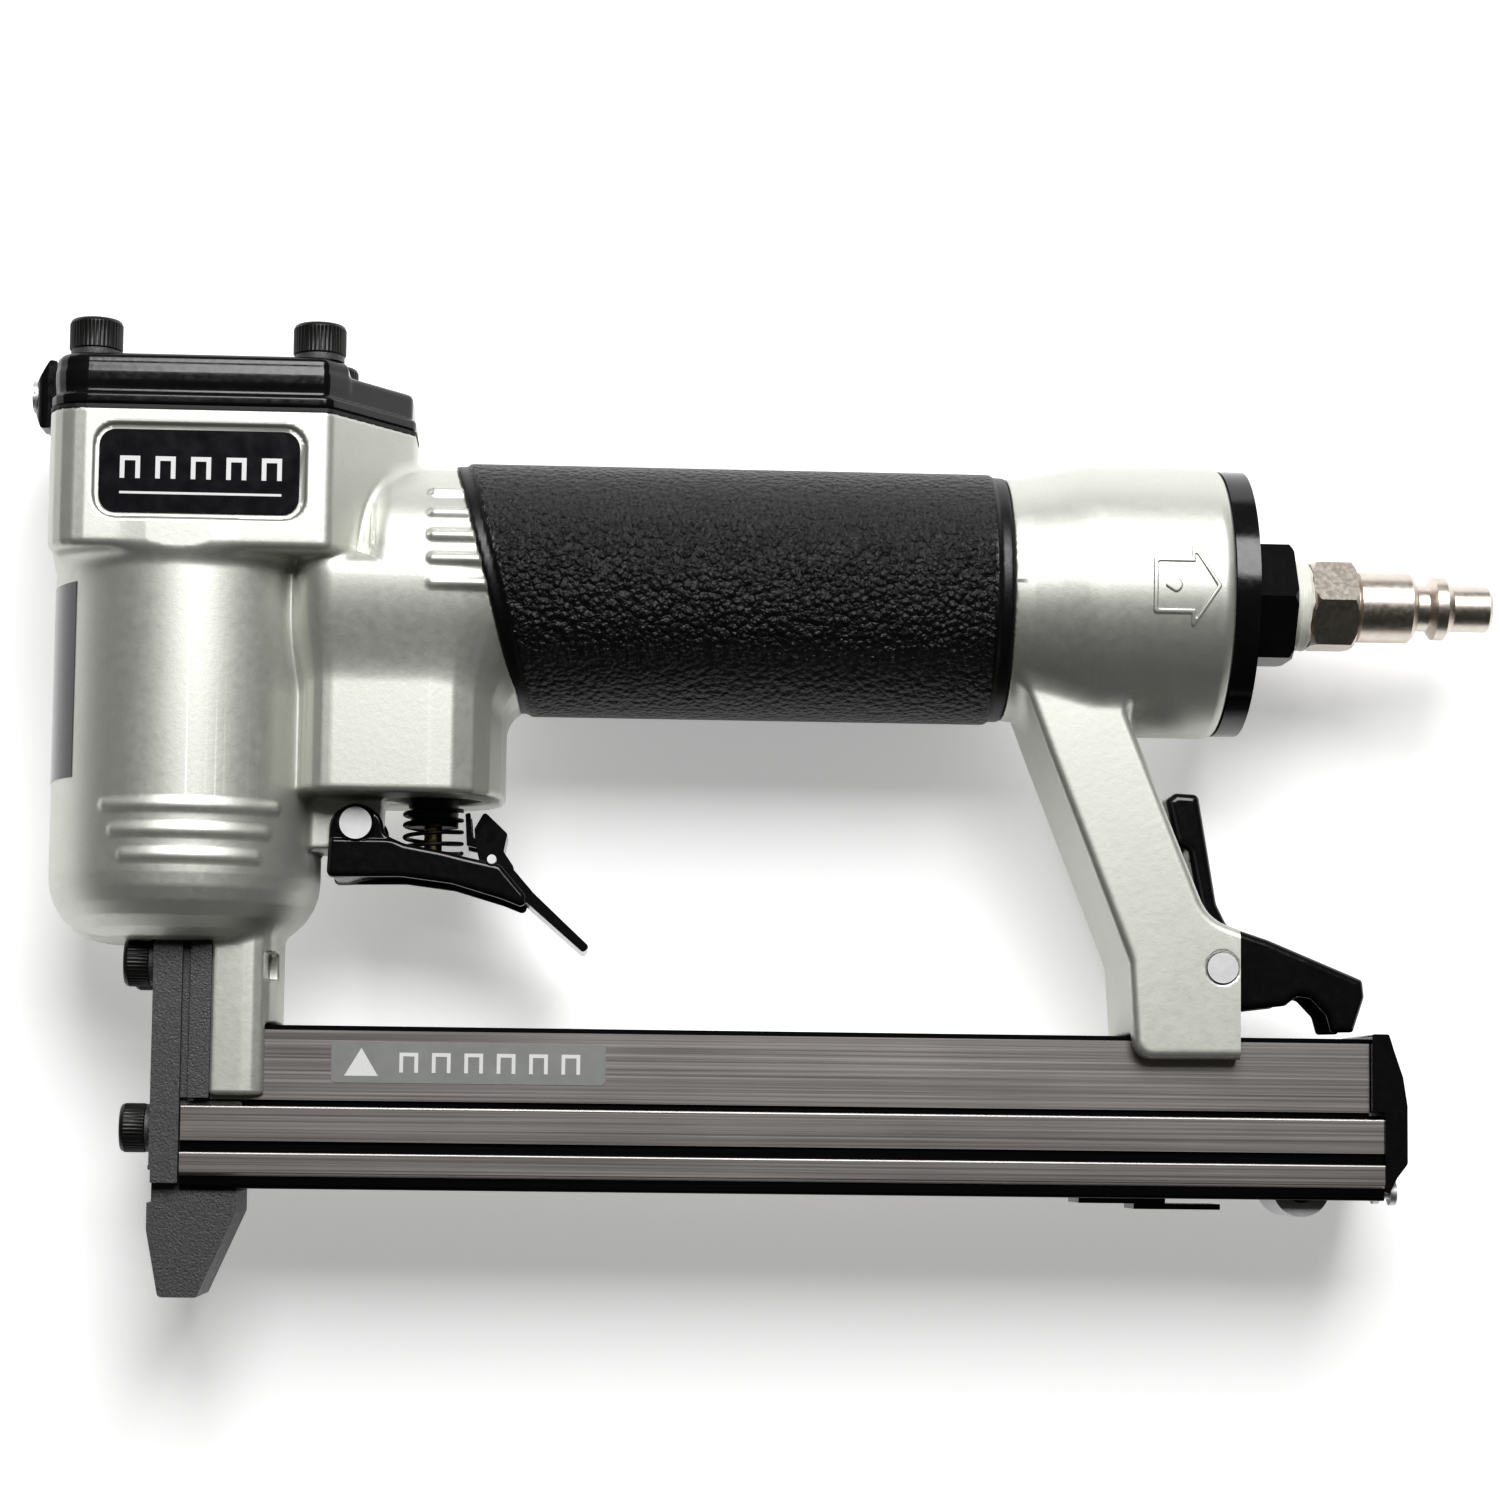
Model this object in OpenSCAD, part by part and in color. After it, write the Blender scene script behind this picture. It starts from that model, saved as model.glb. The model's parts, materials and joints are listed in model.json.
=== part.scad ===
// Air-powered fine-wire stapler with a bottom-loading magazine, lying on its side.
// Row frame: +X along the handle towards the air plug, +Y towards the head cap, +Z up.
// Modules are drawn in the tool frame: cylinder axis on Y at x = 0, handle axis on X
// at y = 0, middle plane at z = 0. placed() moves them to the row frame at the end.

/* [Cylinder and head] */
// radius of the cast cylinder
cyl_r = 22; // [20:0.5:25]
// height of the lower rim of the cylinder wall, below the handle axis
cyl_rim = 49; // [44:0.5:54]
// height of the cylinder's flat bottom, below the handle axis
cyl_bottom = 59.5; // [55:0.5:64]
// half width of the whole tool (head block and rear housing)
half_w = 22.5; // [20:0.5:25]
// x of the head block's front face
head_front = -21.5; // [-24:0.5:-20]
// x where the near face of the head turns into the slanted rear face
head_turn = 23.5; // [20:0.5:27]
// x of the head block's blunt rear end
head_rear = 36.5; // [33:0.5:40]
// height of the head block's lower edge
head_low = 2.2; // [0:0.1:5]
// height of the joint between head block and cap
head_top = 24.7; // [22:0.1:28]

/* [Cap] */
// height of the cap's plateau above the handle axis
cap_top = 34; // [31:0.1:38]
// height of the lower rear part of the cap
cap_rear_top = 31.7; // [29:0.1:34]
// x of the front pair of cap bolts
cap_bolt_x1 = -14.6; // [-16:0.1:-12]
// x of the rear pair of cap bolts
cap_bolt_x2 = 21.2; // [18:0.1:24]
// half spacing of the cap bolts across the tool
cap_bolt_z = 16; // [14:0.1:18]
// head diameter of the cap bolts
cap_bolt_head = 8.5; // [7:0.1:10]

/* [Handle] */
// outer radius of the rubber grip
grip_r = 20.8; // [18:0.1:22]
// x where the grip ends at the rear
grip_end = 133.8; // [120:0.1:140]
// x of the slanted front edge of the grip on the handle axis
grip_start = 48.2; // [44:0.1:54]
// slope of the grip's front edge, x per unit of y
grip_slope = 0.257; // [0:0.001:0.4]
// radius of the metal neck in front of the grip
neck_r = 19.7; // [18:0.1:21]
// x where the rear housing reaches its full radius
rear_full = 148.5; // [144:0.5:152]
// x of the rear end of the housing
rear_end = 169.5; // [164:0.5:175]

/* [Air inlet] */
// across flats of the end cap's hexagon
cap_hex = 19; // [16:0.5:22]
// across flats of the plug's hexagon
plug_hex = 13.9; // [12:0.1:17]
// diameter of the plug's collar
plug_collar = 11.8; // [10:0.1:13]
// diameter of the plug's tip
plug_tip = 7.7; // [7:0.1:8]
// x of the plug's open end
plug_end = 216.2; // [205:0.1:225]

/* [Nose] */
// half width of the nose plate
nose_hw = 12; // [10:0.5:14]
// half width of the foot that touches the work
foot_hw = 9.6; // [8:0.1:11]
// depth of the foot's flat end below the handle axis
nose_tip = 116.2; // [110:0.1:122]
// half width of the staple and driver channel
chan_hw = 4.85; // [4:0.05:7]
// half spacing of the nose bolts across the tool
nose_bolt_z = 7.25; // [6:0.05:8]

/* [Magazine] */
// height of the magazine's upper edge, below the handle axis
mag_top = 72.6; // [68:0.1:78]
// half width of the fixed upper rail
rail_hw = 10; // [8:0.1:12]
// depth of the fixed rail's visible side
rail_h = 12; // [9:0.1:15]
// x of the rail's rear end
rail_end = 193.4; // [180:0.1:205]
// x of the sliding channel's rear end
slide_end = 195.6; // [182:0.1:208]
// half width of the sliding channel's widest band
slide_hw = 11.6; // [10:0.1:13]
// x of the rear face of the magazine end cap
mag_end = 199.3; // [186:0.1:212]

/* [Leg] */
// half thickness of the rear leg
leg_hw = 14; // [12:0.5:16]
// half width of the slot in the leg for the latch
leg_slot = 7.6; // [6:0.1:9]
// x of the latch pin
latch_x = 168.6; // [160:0.1:175]
// depth of the latch pin below the handle axis
latch_y = 61.5; // [56:0.1:66]

/* [Trigger] */
// x of the trigger pin
trig_x = 28.2; // [26:0.1:31]
// depth of the trigger pin below the handle axis
trig_y = 39.9; // [37:0.1:43]
// half width of the trigger
trig_hw = 10; // [8:0.1:11]
// x of the trigger valve's axis
valve_x = 40.3; // [37:0.1:44]
// x of the safety lever's pin
safe_x = 50.2; // [47:0.1:53]
// depth of the safety lever's pin below the handle axis
safe_y = 45.4; // [43:0.1:48]

/* [Drive] */
// bore radius of the cylinder liner
bore_r = 13.6; // [11:0.1:15]
// stroke of the piston and driver blade
stroke = 42; // [30:0.5:45]
// height of the piston's lower face at rest, below the handle axis
piston_low = 2; // [0:0.5:6]
// x of the driver blade's front face
blade_x = 1.35; // [1:0.05:2]
// thickness of the driver blade
blade_t = 1; // [0.8:0.05:1.6]

/* [Fits] */
// radial clearance of running and fixed round fits
fit = 0.05; // [0.02:0.01:0.1]

/* [Hidden] */
$fn = 64;
defl_front = -26;
bolt_top = 40;
mid_x = (defl_front + plug_end) / 2;
mid_y = (bolt_top - nose_tip) / 2;
boss_low = -35.4;
sleeve_low = -39.6;
fork_in = 4.3;
fork_out = 5.8;
boss_hw = 17.2;
boss_start = 19.4;
neck_start = 28.5;
neck_end = 60;
passage_r = 15;
inlet_r = 18;
cap_tap_r = 2.5;
nose_bolt_y = [-62.7, -89.3];
dowel_y = -69.3;
dowel_z = 8.5;
rod_y = -86;
bumper_top = -piston_low - stroke - 2.2;
core_r = neck_r - 0.8;
disc_x = rear_end + 3.9;
hex_x = disc_x + 8.6;
tape_x = hex_x + 3.4;
plug_hex_x = tape_x + 7.4;
mag_low = mag_top + rail_h;
band2 = [mag_low + 1, mag_low + 6.6];
band3 = [mag_low + 8.4, mag_low + 11.7];
slide_low = mag_low + 14.2;
wall_in = slide_hw - 1.9;
chan_x = 1.2;
guide_x = 5.8;
cheek_hw = 9.5;
liner_r = 15.6;
liner_top = 22;
liner_low = -46;
cast_bore = 18.5;
seat_low = -54.5;
silver = [0.80, 0.80, 0.77];
black = [0.08, 0.08, 0.09];
steel = [0.75, 0.75, 0.76];
gun = [0.27, 0.25, 0.25];
brass_c = [0.80, 0.62, 0.30];
rub = [0.10, 0.10, 0.10];

// ---------- helpers ----------
function unit(v) = v / norm(v);
// points of one rounded corner p1 between p0 and p2, radius r, in n steps
function corner(p0, p1, p2, r, n) =
  r <= 0 ? [p1] :
  let (a = unit(p0 - p1), b = unit(p2 - p1), h = acos(a * b) / 2,
       c = p1 + unit(a + b) * r / sin(h), s = p1 + a * r / tan(h), e = p1 + b * r / tan(h),
       t0 = atan2(s[1] - c[1], s[0] - c[0]), t1 = atan2(e[1] - c[1], e[0] - c[0]),
       d0 = t1 - t0, d = d0 > 180 ? d0 - 360 : d0 < -180 ? d0 + 360 : d0)
  [for (i = [0:n]) c + r * [cos(t0 + d * i / n), sin(t0 + d * i / n)]];
// closed outline with a radius at each corner, entries [x, y, r]
function soft(p, n = 6) = let (m = len(p))
  [for (i = [0:m - 1]) each corner([p[(i + m - 1) % m][0], p[(i + m - 1) % m][1]],
    [p[i][0], p[i][1]], [p[(i + 1) % m][0], p[(i + 1) % m][1]], p[i][2], n)];
function mirror_z(p) = concat(p, [for (i = [len(p) - 1:-1:0]) [p[i][0], -p[i][1], p[i][2]]]);
// side outline (x, y) given a thickness in z
module side(p, z0, z1, n = 6) translate([0, 0, z0]) linear_extrude(z1 - z0) polygon(soft(p, n));
// plan outline (x, z) given a height in y
module plan(p, y0, y1, n = 6)
  translate([0, y0, 0]) rotate([-90, 0, 0]) linear_extrude(y1 - y0)
    polygon([for (q = soft(p, n)) [q[0], -q[1]]]);
// cross section (y, z) given a length in x
module along(p, x0, x1, n = 5)
  translate([x0, 0, 0]) rotate([90, 0, 90]) linear_extrude(x1 - x0) polygon(soft(p, n));
module xcyl(r, x0, x1, y = 0, z = 0)
  translate([x0, y, z]) rotate([0, 90, 0]) cylinder(r = r, h = x1 - x0);
module ycyl(r, y0, y1, x = 0, z = 0)
  translate([x, y0, z]) rotate([-90, 0, 0]) cylinder(r = r, h = y1 - y0);
module zcyl(r, z0, z1, x = 0, y = 0) translate([x, y, z0]) cylinder(r = r, h = z1 - z0);
// solid turned about Y from (radius, y) points; about X from (x, radius) points
module yturn(p) rotate([-90, 0, 0]) rotate_extrude() polygon(p);
module xturn(p) rotate([0, 90, 0]) rotate_extrude() polygon([for (q = p) [q[1], q[0]]]);
module yring(r, w, y, x = 0) translate([x, y, 0]) rotate([-90, 0, 0])
  rotate_extrude() translate([r, 0]) circle(r = w, $fn = 24);
module xring(r, w, x) translate([x, 0, 0]) rotate([0, 90, 0])
  rotate_extrude() translate([r, 0]) circle(r = w, $fn = 24);
module hexbar(af, h) cylinder(d = af / cos(30), h = h, $fn = 6);
module box(x0, x1, y0, y1, z0, z1) translate([x0, y0, z0]) cube([x1 - x0, y1 - y0, z1 - z0]);
// coil spring along +Z: mean radius, wire radius, length, turns
module coil(r, w, len, turns, seg = 12, sides = 5) {
  n = ceil(turns * seg);
  pts = [for (i = [0:n]) let (t = 360 * turns * i / n, h = w + (len - 2 * w) * i / n)
    for (k = [0:sides - 1]) let (a = 360 * k / sides)
      [(r + w * cos(a)) * cos(t), (r + w * cos(a)) * sin(t), h + w * sin(a)]];
  faces = concat(
    [[for (k = [0:sides - 1]) k]],
    [for (i = [0:n - 1]) for (k = [0:sides - 1]) let (a = i * sides + k,
      b = i * sides + (k + 1) % sides) each [[a, a + sides, b], [b, a + sides, b + sides]]],
    [[for (k = [sides - 1:-1:0]) n * sides + k]]);
  polyhedron(points = pts, faces = faces);
}
// socket-head screw along -Z: head on z = 0 .. h, shank below
module socket_screw(d, h, r, len, af) {
  difference() {
    union() {
      cylinder(d = d, h = h - 0.4);
      translate([0, 0, h - 0.4]) cylinder(d1 = d, d2 = d - 0.8, h = 0.4);
      translate([0, 0, -len]) cylinder(r = r, h = len + 0.1);
    }
    translate([0, 0, h * 0.45]) hexbar(af, h);
  }
}
head_plan = mirror_z([[head_front, half_w, 6.5], [head_turn, half_w, 1.5], [head_rear, 5.2, 2.2]]);
function inset(p, d) = [for (q = p) [q[0] > 0 ? q[0] - d : q[0] + d,
  q[1] > 0 ? q[1] - d : q[1] + d, max(q[2] - d, 0.6)]];
module grip_cut(off = 0) // everything in front of the grip's slanted edge
  side([[-40, 60, 0], [grip_start - 60 * grip_slope + off, 60, 0],
    [grip_start + 60 * grip_slope + off, -60, 0], [-40, -60, 0]], -40, 40);

// ---------- body ----------
leg_outline = [[134.6, -12, 0], [152.5, -12, 0], [153.2, -20.5, 4], [166.4, -53.4, 7],
  [177.4, -57.3, 4.5], [177.4, -76.2, 3], [154.4, -76.4, 3], [153.4, -60.6, 6], [139.9, -26.2, 5]];
rear_profile = [[128, 0], [128, core_r], [grip_end + 0.1, core_r], [grip_end + 0.1, 20.1],
  [137, 20.3], [141.5, 20.9], [145.5, 22], [147, 22.35], [rear_full, half_w], [rear_end - 1.6, half_w],
  [rear_end - 0.5, half_w - 0.35], [rear_end, half_w - 0.9], [rear_end, 0]];
// the neck's front end is rounded, so a groove stays between it and the cylinder
function neck_profile(x0) = soft([[x0, 0, 0], [x0, neck_r, 5], [neck_end, neck_r, 0], [neck_end, 0, 0]]);
cyl_profile = [[0, head_low + 4], [cyl_r, head_low + 4], [cyl_r, -cyl_rim], [21.7, -51.2],
  [20.9, -53.4], [19.6, -55.3], [17.6, -57.3], [15.4, -58.7], [13, -59.3], [11, -cyl_bottom],
  [0, -cyl_bottom]];
module arrow_relief() {
  shaft = [[155.8, 4.2, 0.6], [162, 4.2, 0.2], [162, 7, 0.4], [167, -0.4, 0.6], [162, -7.8, 0.4],
    [162, -5, 0.2], [155.8, -5, 0.6]];
  inner = [[156.5, 3.5, 0.3], [162.7, 3.5, 0.1], [162.7, 5.1, 0.1], [166.2, -0.4, 0.3],
    [162.7, -5.9, 0.1], [162.7, -4.3, 0.1], [156.5, -4.3, 0.3]];
  intersection() {
    union() {
      difference() { side(shaft, 15, 26, 3); side(inner, 14, 27, 3); }
      side([[157.4, -0.4, 0.6], [159.6, 1, 0.8], [160.9, -0.4, 1], [159.6, -1.8, 0.8]], 15, 26, 3);
    }
    difference() { xcyl(half_w + 0.35, 150, 169); xcyl(half_w - 0.6, 149, 170); }
  }
}
module ribs(sgn, lift) for (k = [0:2])
  let (y = -38.4 - 4 * k, a0 = -30 + 4.6 * k, a1 = 45.5 - 4.7 * k) {
  translate([0, y, 0]) rotate([-90, 0, 0]) rotate([0, 0, sgn > 0 ? -90 + a0 : 90 - a1])
    rotate_extrude(angle = a1 - a0) translate([cyl_r - 0.9 + lift, 0]) circle(r = 0.9, $fn = 24);
  for (a = [a0, a1]) translate([(cyl_r - 0.9 + lift) * sin(a), y, sgn * (cyl_r - 0.9 + lift) * cos(a)])
    sphere(r = 0.86, $fn = 24);
}
module neck_ribs(sgn) for (k = [0:4])
  let (y = 13.6 - 3.875 * k, z = sgn * (sqrt(neck_r * neck_r - y * y) - 0.15)) {
  xcyl(0.85, 40.2, 56, y, z);
  translate([40.2, y, z]) sphere(r = 0.82, $fn = 24);
}
module housing() color(silver) difference() {
  union() {
    yturn(cyl_profile);
    plan(head_plan, head_low, head_top);
    intersection() { xturn(neck_profile(neck_start)); grip_cut(-0.1); }
    intersection() {
      xturn(neck_profile(boss_start));
      box(0, neck_start + 8, -30, head_low, -30, 30);
    }
    xcyl(core_r, 30, grip_end + 0.2);
    xturn(rear_profile);
    plan(mirror_z([[boss_start, boss_hw, 5], [52, boss_hw, 12]]), boss_low, -4);
    side([[14, -34, 0], [32, -34, 0], [32, -40.5, 3.6], [24.4, -44, 3], [14, -44, 0]], -8, 8);
    side(leg_outline, -leg_hw, leg_hw);
    plan(mirror_z([[guide_x, nose_hw, 0.6], [16, nose_hw, 5]]), -84, -57);
    ribs(1, 0.7); ribs(-1, 0.4);
    intersection() { union() { neck_ribs(1); neck_ribs(-1); } grip_cut(-0.1); }
    arrow_relief();
  }
  // cylinder bore, bumper seat and driver slot
  ycyl(cast_bore, liner_low, head_top + 1);
  ycyl(15, seat_low, liner_low + 1);
  box(0.9, 2.8, -60, -50, -5.2, 5.2);
  // pocket for the nose plates and relief for the upper nose bolts
  box(-3.5, guide_x + 0.05, -62, -56.8, -nose_hw - 0.1, nose_hw + 0.1);
  for (z = [-1, 1]) xcyl(4.3, -16, -3, nose_bolt_y[0], z * nose_bolt_z);
  // air passage through the handle, inlet bore
  xcyl(7, 10, 33);
  xcyl(passage_r, 31, rear_end + 1);
  xcyl(inlet_r, 160, rear_end + 1);
  // trigger valve bore and its recess
  ycyl(6.35, boss_low - 1, -10, valve_x);
  ycyl(8, boss_low - 1, boss_low + 3, valve_x);
  // tapped holes for the cap bolts
  for (x = [cap_bolt_x1, cap_bolt_x2], z = [-1, 1]) ycyl(cap_tap_r, 8, head_top + 1, x, z * cap_bolt_z);
  // pocket for the nameplate
  side([[-13.6, 7.2, 3.4], [19.8, 7.2, 3.4], [19.8, 22.2, 3.4], [-13.6, 22.2, 3.4]],
    half_w - 0.6, half_w + 1);
  // slot for the magazine rail in the nose extension and in the leg
  box(guide_x - 1, 18, -90, -mag_top + 0.15, -rail_hw - 0.15, rail_hw + 0.15);
  box(148, 180, -90, -mag_top + 0.15, -rail_hw - 0.15, rail_hw + 0.15);
  // slot for the latch
  side([[152.6, -26, 0], [200, -26, 0], [200, -74, 0], [162, -74, 0], [160.4, -56, 3]],
    -leg_slot, leg_slot);
  // pin holes
  zcyl(2.55, -30, 30, latch_x, -latch_y);
  zcyl(2.05, -12, 12, trig_x, -trig_y);
  // nose bolt and dowel holes, moulding slot in the extension
  for (z = [-1, 1]) {
    xcyl(2.05, 0, 11, nose_bolt_y[0], z * nose_bolt_z);
    xcyl(1.55, 0, 10.5, dowel_y, z * dowel_z);
  }
  plan([[14.2, 9.4, 0.6], [17, 9.4, 0.6], [17, 7.2, 0.6], [14.2, 7.2, 0.6]], -65.2, -61, 3);
}
module grip() color(rub) difference() {
  union() {
    xcyl(grip_r, 38, grip_end - 2.3);
    xcyl(grip_r - 0.45, grip_end - 2.4, grip_end);
  }
  xcyl(core_r + fit, 30, 140);
  grip_cut();
  intersection() {
    difference() { xcyl(30, 38, 70); xcyl(grip_r - 0.45, 30, 80); }
    grip_cut(2.2);
  }
}
module nameplate() color(black)
  side([[-12.8, 8.1, 2.6], [18.9, 8.1, 2.6], [18.9, 21.3, 2.6], [-12.8, 21.3, 2.6]],
    half_w - 0.6, half_w - 0.1);
module side_label() color(black) intersection() {
  difference() { ycyl(cyl_r + 0.12, -33.6, -2); ycyl(cyl_r, -40, 5); }
  box(-30, -17, -40, 5, -30, 30);
}

// ---------- head ----------
module cap() color(black) difference() {
  union() {
    plan(inset(head_plan, 0.1), head_top + 0.6, head_top + 2.6);
    plan(inset(head_plan, 0.7), head_top + 2.5, cap_rear_top);
    intersection() {
      hull() {
        plan(inset(head_plan, 0.7), cap_rear_top - 0.2, cap_top - 1.1);
        plan(inset(head_plan, 1.9), cap_top - 0.2, cap_top);
      }
      side([[-40, 20, 0], [26, 20, 0], [26, cap_top - 0.5, 0], [25.4, cap_top + 1, 0],
        [-40, cap_top + 1, 0]], -40, 40);
    }
  }
  ycyl(17, head_top - 1, 31.3);
  for (x = [cap_bolt_x1, cap_bolt_x2], z = [-1, 1]) ycyl(2.7, 20, 40, x, z * cap_bolt_z);
  xcyl(3.6, -30, -10, 28.6);
  for (z = [-1, 1]) xcyl(1.35, -30, -17.6, 29.2, z * 7.6);
}
module cap_gasket() color(rub) difference() {
  plan(head_plan, head_top, head_top + 0.6);
  ycyl(17.4, 20, 30);
  for (x = [cap_bolt_x1, cap_bolt_x2], z = [-1, 1]) ycyl(2.7, 20, 40, x, z * cap_bolt_z);
}
module cap_bolts() color(black) for (x = [cap_bolt_x1, cap_bolt_x2], z = [-1, 1])
  translate([x, bolt_top - 5, z * cap_bolt_z]) rotate([-90, 0, 0])
    socket_screw(cap_bolt_head, 5, 2.45, 25.5, 4);
module cap_washers() color(black) for (x = [cap_bolt_x1, cap_bolt_x2], z = [-1, 1]) difference() {
  ycyl(4, cap_top, cap_top + 1, x, z * cap_bolt_z);
  ycyl(2.6, 30, 40, x, z * cap_bolt_z);
}
module exhaust_deflector() color(black) difference() {
  intersection() {
    plan(mirror_z([[-18, 11.4, 0], [-24.2, 11.4, 2], [defl_front, 6.6, 4]]), 22, 36);
    side([[head_front + 0.05, 34.4, 0.2], [-22.6, 34.6, 0.6], [defl_front, 28.9, 1.2],
      [-23.9, 23.4, 0.6], [-22.3, 23.4, 0.4], [-22.3, 25.6, 0], [head_front + 0.05, 25.6, 0]], -20, 20);
  }
  box(-24, -20, 26.4, 31.2, -6, 6);
  box(-24.6, -22.6, 20, 27, -6, 6);
  for (z = [-1, 1]) xcyl(1.4, -30, -18, 29.2, z * 7.6);
  for (z = [-1, 1]) xcyl(2.9, -30, -24.2, 29.2, z * 7.6);
}
module deflector_screw() color(steel) for (z = [-1, 1]) translate([-24.2, 29.2, z * 7.6])
  rotate([0, -90, 0]) difference() {
    union() { cylinder(r = 2.6, h = 1.3); translate([0, 0, -6]) cylinder(r = 1.3, h = 6.1); }
    translate([-0.4, -3, 0.8]) cube([0.8, 6, 2]);
    translate([-3, -0.4, 0.8]) cube([6, 0.8, 2]);
  }
module head_valve() color(steel) difference() {
  ycyl(16.8, liner_top + 0.2, 28);
  ycyl(9.5, 24.6, 30);
  difference() { ycyl(20, 25.4, 27.6); ycyl(15.2, 25, 28); }
  ycyl(2, 20, 30);
}
module head_valve_oring() color(rub) yring(15.98, 0.72, 26.5);
module head_valve_spring() color(steel)
  translate([0, 24.7, 0]) rotate([-90, 0, 0]) coil(7.4, 0.6, 6.5, 4, 16, 6);

// ---------- drive ----------
module cylinder_liner() color(steel) difference() {
  union() { ycyl(liner_r, liner_low, liner_top); ycyl(cast_bore - 0.1, 18, 20.5); }
  ycyl(bore_r, liner_low - 1, liner_top + 1);
  for (a = [0:60:300]) translate([0, -41, 0]) rotate([0, a, 0]) translate([0, 0, 10])
    cylinder(r = 1.2, h = 10);
}
module piston() color([0.6, 0.6, 0.62]) difference() {
  ycyl(bore_r - 0.08, -piston_low, 11);
  difference() { ycyl(20, 4, 6.4); ycyl(11.7, 3, 7); }
  box(blade_x - 0.05, blade_x + blade_t + 0.05, -4, 6, -4.75, 4.75);
  ycyl(7, 8, 12);
}
module piston_oring() color(rub) yring(12.6, 0.88, 5.2);
module driver_blade() color(steel)
  box(blade_x, blade_x + blade_t, -mag_top - 1, 5.9, -4.7, 4.7);
module bumper() color([0.2, 0.2, 0.22]) difference() {
  union() { ycyl(14.8, seat_low + 0.1, -50); ycyl(12.4, -50.1, bumper_top); }
  box(0.9, 2.8, -60, -40, -5.2, 5.2);
}

// ---------- trigger valve and trigger ----------
module valve_sleeve() color(black) difference() {
  union() {
    ycyl(6.3, boss_low + 3.1, -14, valve_x);
    ycyl(4.1, sleeve_low, boss_low + 3.3, valve_x);
  }
  for (y = [-38.6, -37]) difference() {
    ycyl(5, y, y + 0.5, valve_x);
    ycyl(3.7, y - 1, y + 1, valve_x);
  }
  ycyl(1.6, -40, -10, valve_x);
  ycyl(4.2, -29, -13, valve_x);
}
module valve_stem() color(brass_c) difference() {
  union() {
    ycyl(1.5, -43.95, -19, valve_x);
    ycyl(3.9, -26, -22, valve_x);
  }
  difference() { ycyl(6, -25, -23, valve_x); ycyl(2.7, -26, -22, valve_x); }
}
module valve_oring() color(rub) yring(3.35, 0.6, -24, valve_x);
module valve_spring() color(steel)
  translate([valve_x, -44.1, 0]) rotate([-90, 0, 0]) coil(4.7, 0.35, 7.7, 4, 16, 5);
module trigger() color(black) difference() {
  union() {
    for (s = [-1, 1]) side([[24, -38.6, 3.5], [28.2, -35.9, 3.8], [32.4, -38.6, 3.4],
      [32.8, -41.6, 1.5], [36, -43, 2], [42.1, -44.1, 4], [46.3, -45.1, 2], [51.6, -46.2, 2],
      [55.9, -51.2, 1.5], [55.6, -53.2, 0.8], [52, -51.8, 3], [43.8, -49.4, 4], [35.7, -48.4, 3],
      [23.6, -48.6, 1]],
      s > 0 ? 8.3 : -trig_hw, s > 0 ? trig_hw : -8.3);
    side([[24.2, -46.6, 0.5], [33, -44.5, 1], [44.4, -44.4, 0.4], [44.4, -46.4, 0.4], [34, -46.6, 1],
      [26, -48.4, 0.4], [24.2, -48.4, 0.4]], -8.4, 8.4, 3);
  }
  zcyl(2.1, -20, 20, trig_x, -trig_y);
  zcyl(0.85, -20, 20, safe_x, -safe_y);
}
module trigger_pin() color(steel) {
  zcyl(2, -10.2, 10.2, trig_x, -trig_y);
  for (s = [-1, 1]) zcyl(2.6, s > 0 ? 10.2 : -10.9, s > 0 ? 10.9 : -10.2, trig_x, -trig_y);
}
module safety_lever() color(black) difference() {
  union() {
    side([[47.4, -42.6, 1], [47.2, -40.2, 0.4], [48.8, -37.3, 0.5], [52.6, -40.9, 0.5], [52, -43.8, 0.6],
      [54.2, -47, 1], [51.2, -48.4, 1], [48.6, -47.4, 1]], -6, 6, 3);
    // fork that straddles the valve spring when the trigger is pulled
    for (z = [-fork_out, fork_in]) side([[45.7, -37.7, 0.2], [46.5, -37.5, 0.2], [46.9, -41.6, 0.2],
      [48.4, -41.8, 0.2], [48.4, -43.4, 0.2], [46, -42.9, 0.2]], z, z + fork_out - fork_in, 2);
    side([[51, -47.2, 0.3], [53, -46, 0.3], [57, -50.6, 3], [66.2, -59.2, 0.5], [65.2, -60.2, 0.5],
      [55.6, -51.9, 3]], -7.6, 7.6, 4);
  }
  zcyl(0.8, -20, 20, safe_x, -safe_y);
}
module safety_pin() color(steel) zcyl(0.75, -10.3, 10.3, safe_x, -safe_y);

// ---------- air inlet ----------
module end_cap() color(black) difference() {
  union() {
    xcyl(half_w - 0.4, rear_end, disc_x);
    translate([disc_x - 0.1, 0, 0]) rotate([0, 90, 0]) rotate([0, 0, 120]) intersection() {
      hexbar(cap_hex, hex_x - disc_x + 0.1);
      union() {
        cylinder(d = 30, h = 7.4);
        translate([0, 0, 7.4]) cylinder(d1 = 23, d2 = 20.4, h = 1.4);
      }
    }
    xcyl(inlet_r - fit, 163, rear_end + 0.1);
  }
  difference() { xcyl(20, 165.4, 167.6); xcyl(16.2, 165, 168); }
  xcyl(14.5, 162, rear_end - 1.5);
  xcyl(6.6, 160, hex_x + 1);
}
module end_cap_oring() color(rub) xring(17, 0.78, 166.5);
module filter_screen() color(steel) difference() {
  xcyl(14.4, 166.6, 167.2);
  for (i = [-2:2], j = [-2:2]) if (i * i + j * j < 7) xcyl(1.5, 165, 169, i * 4.6, j * 4.6);
}
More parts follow.
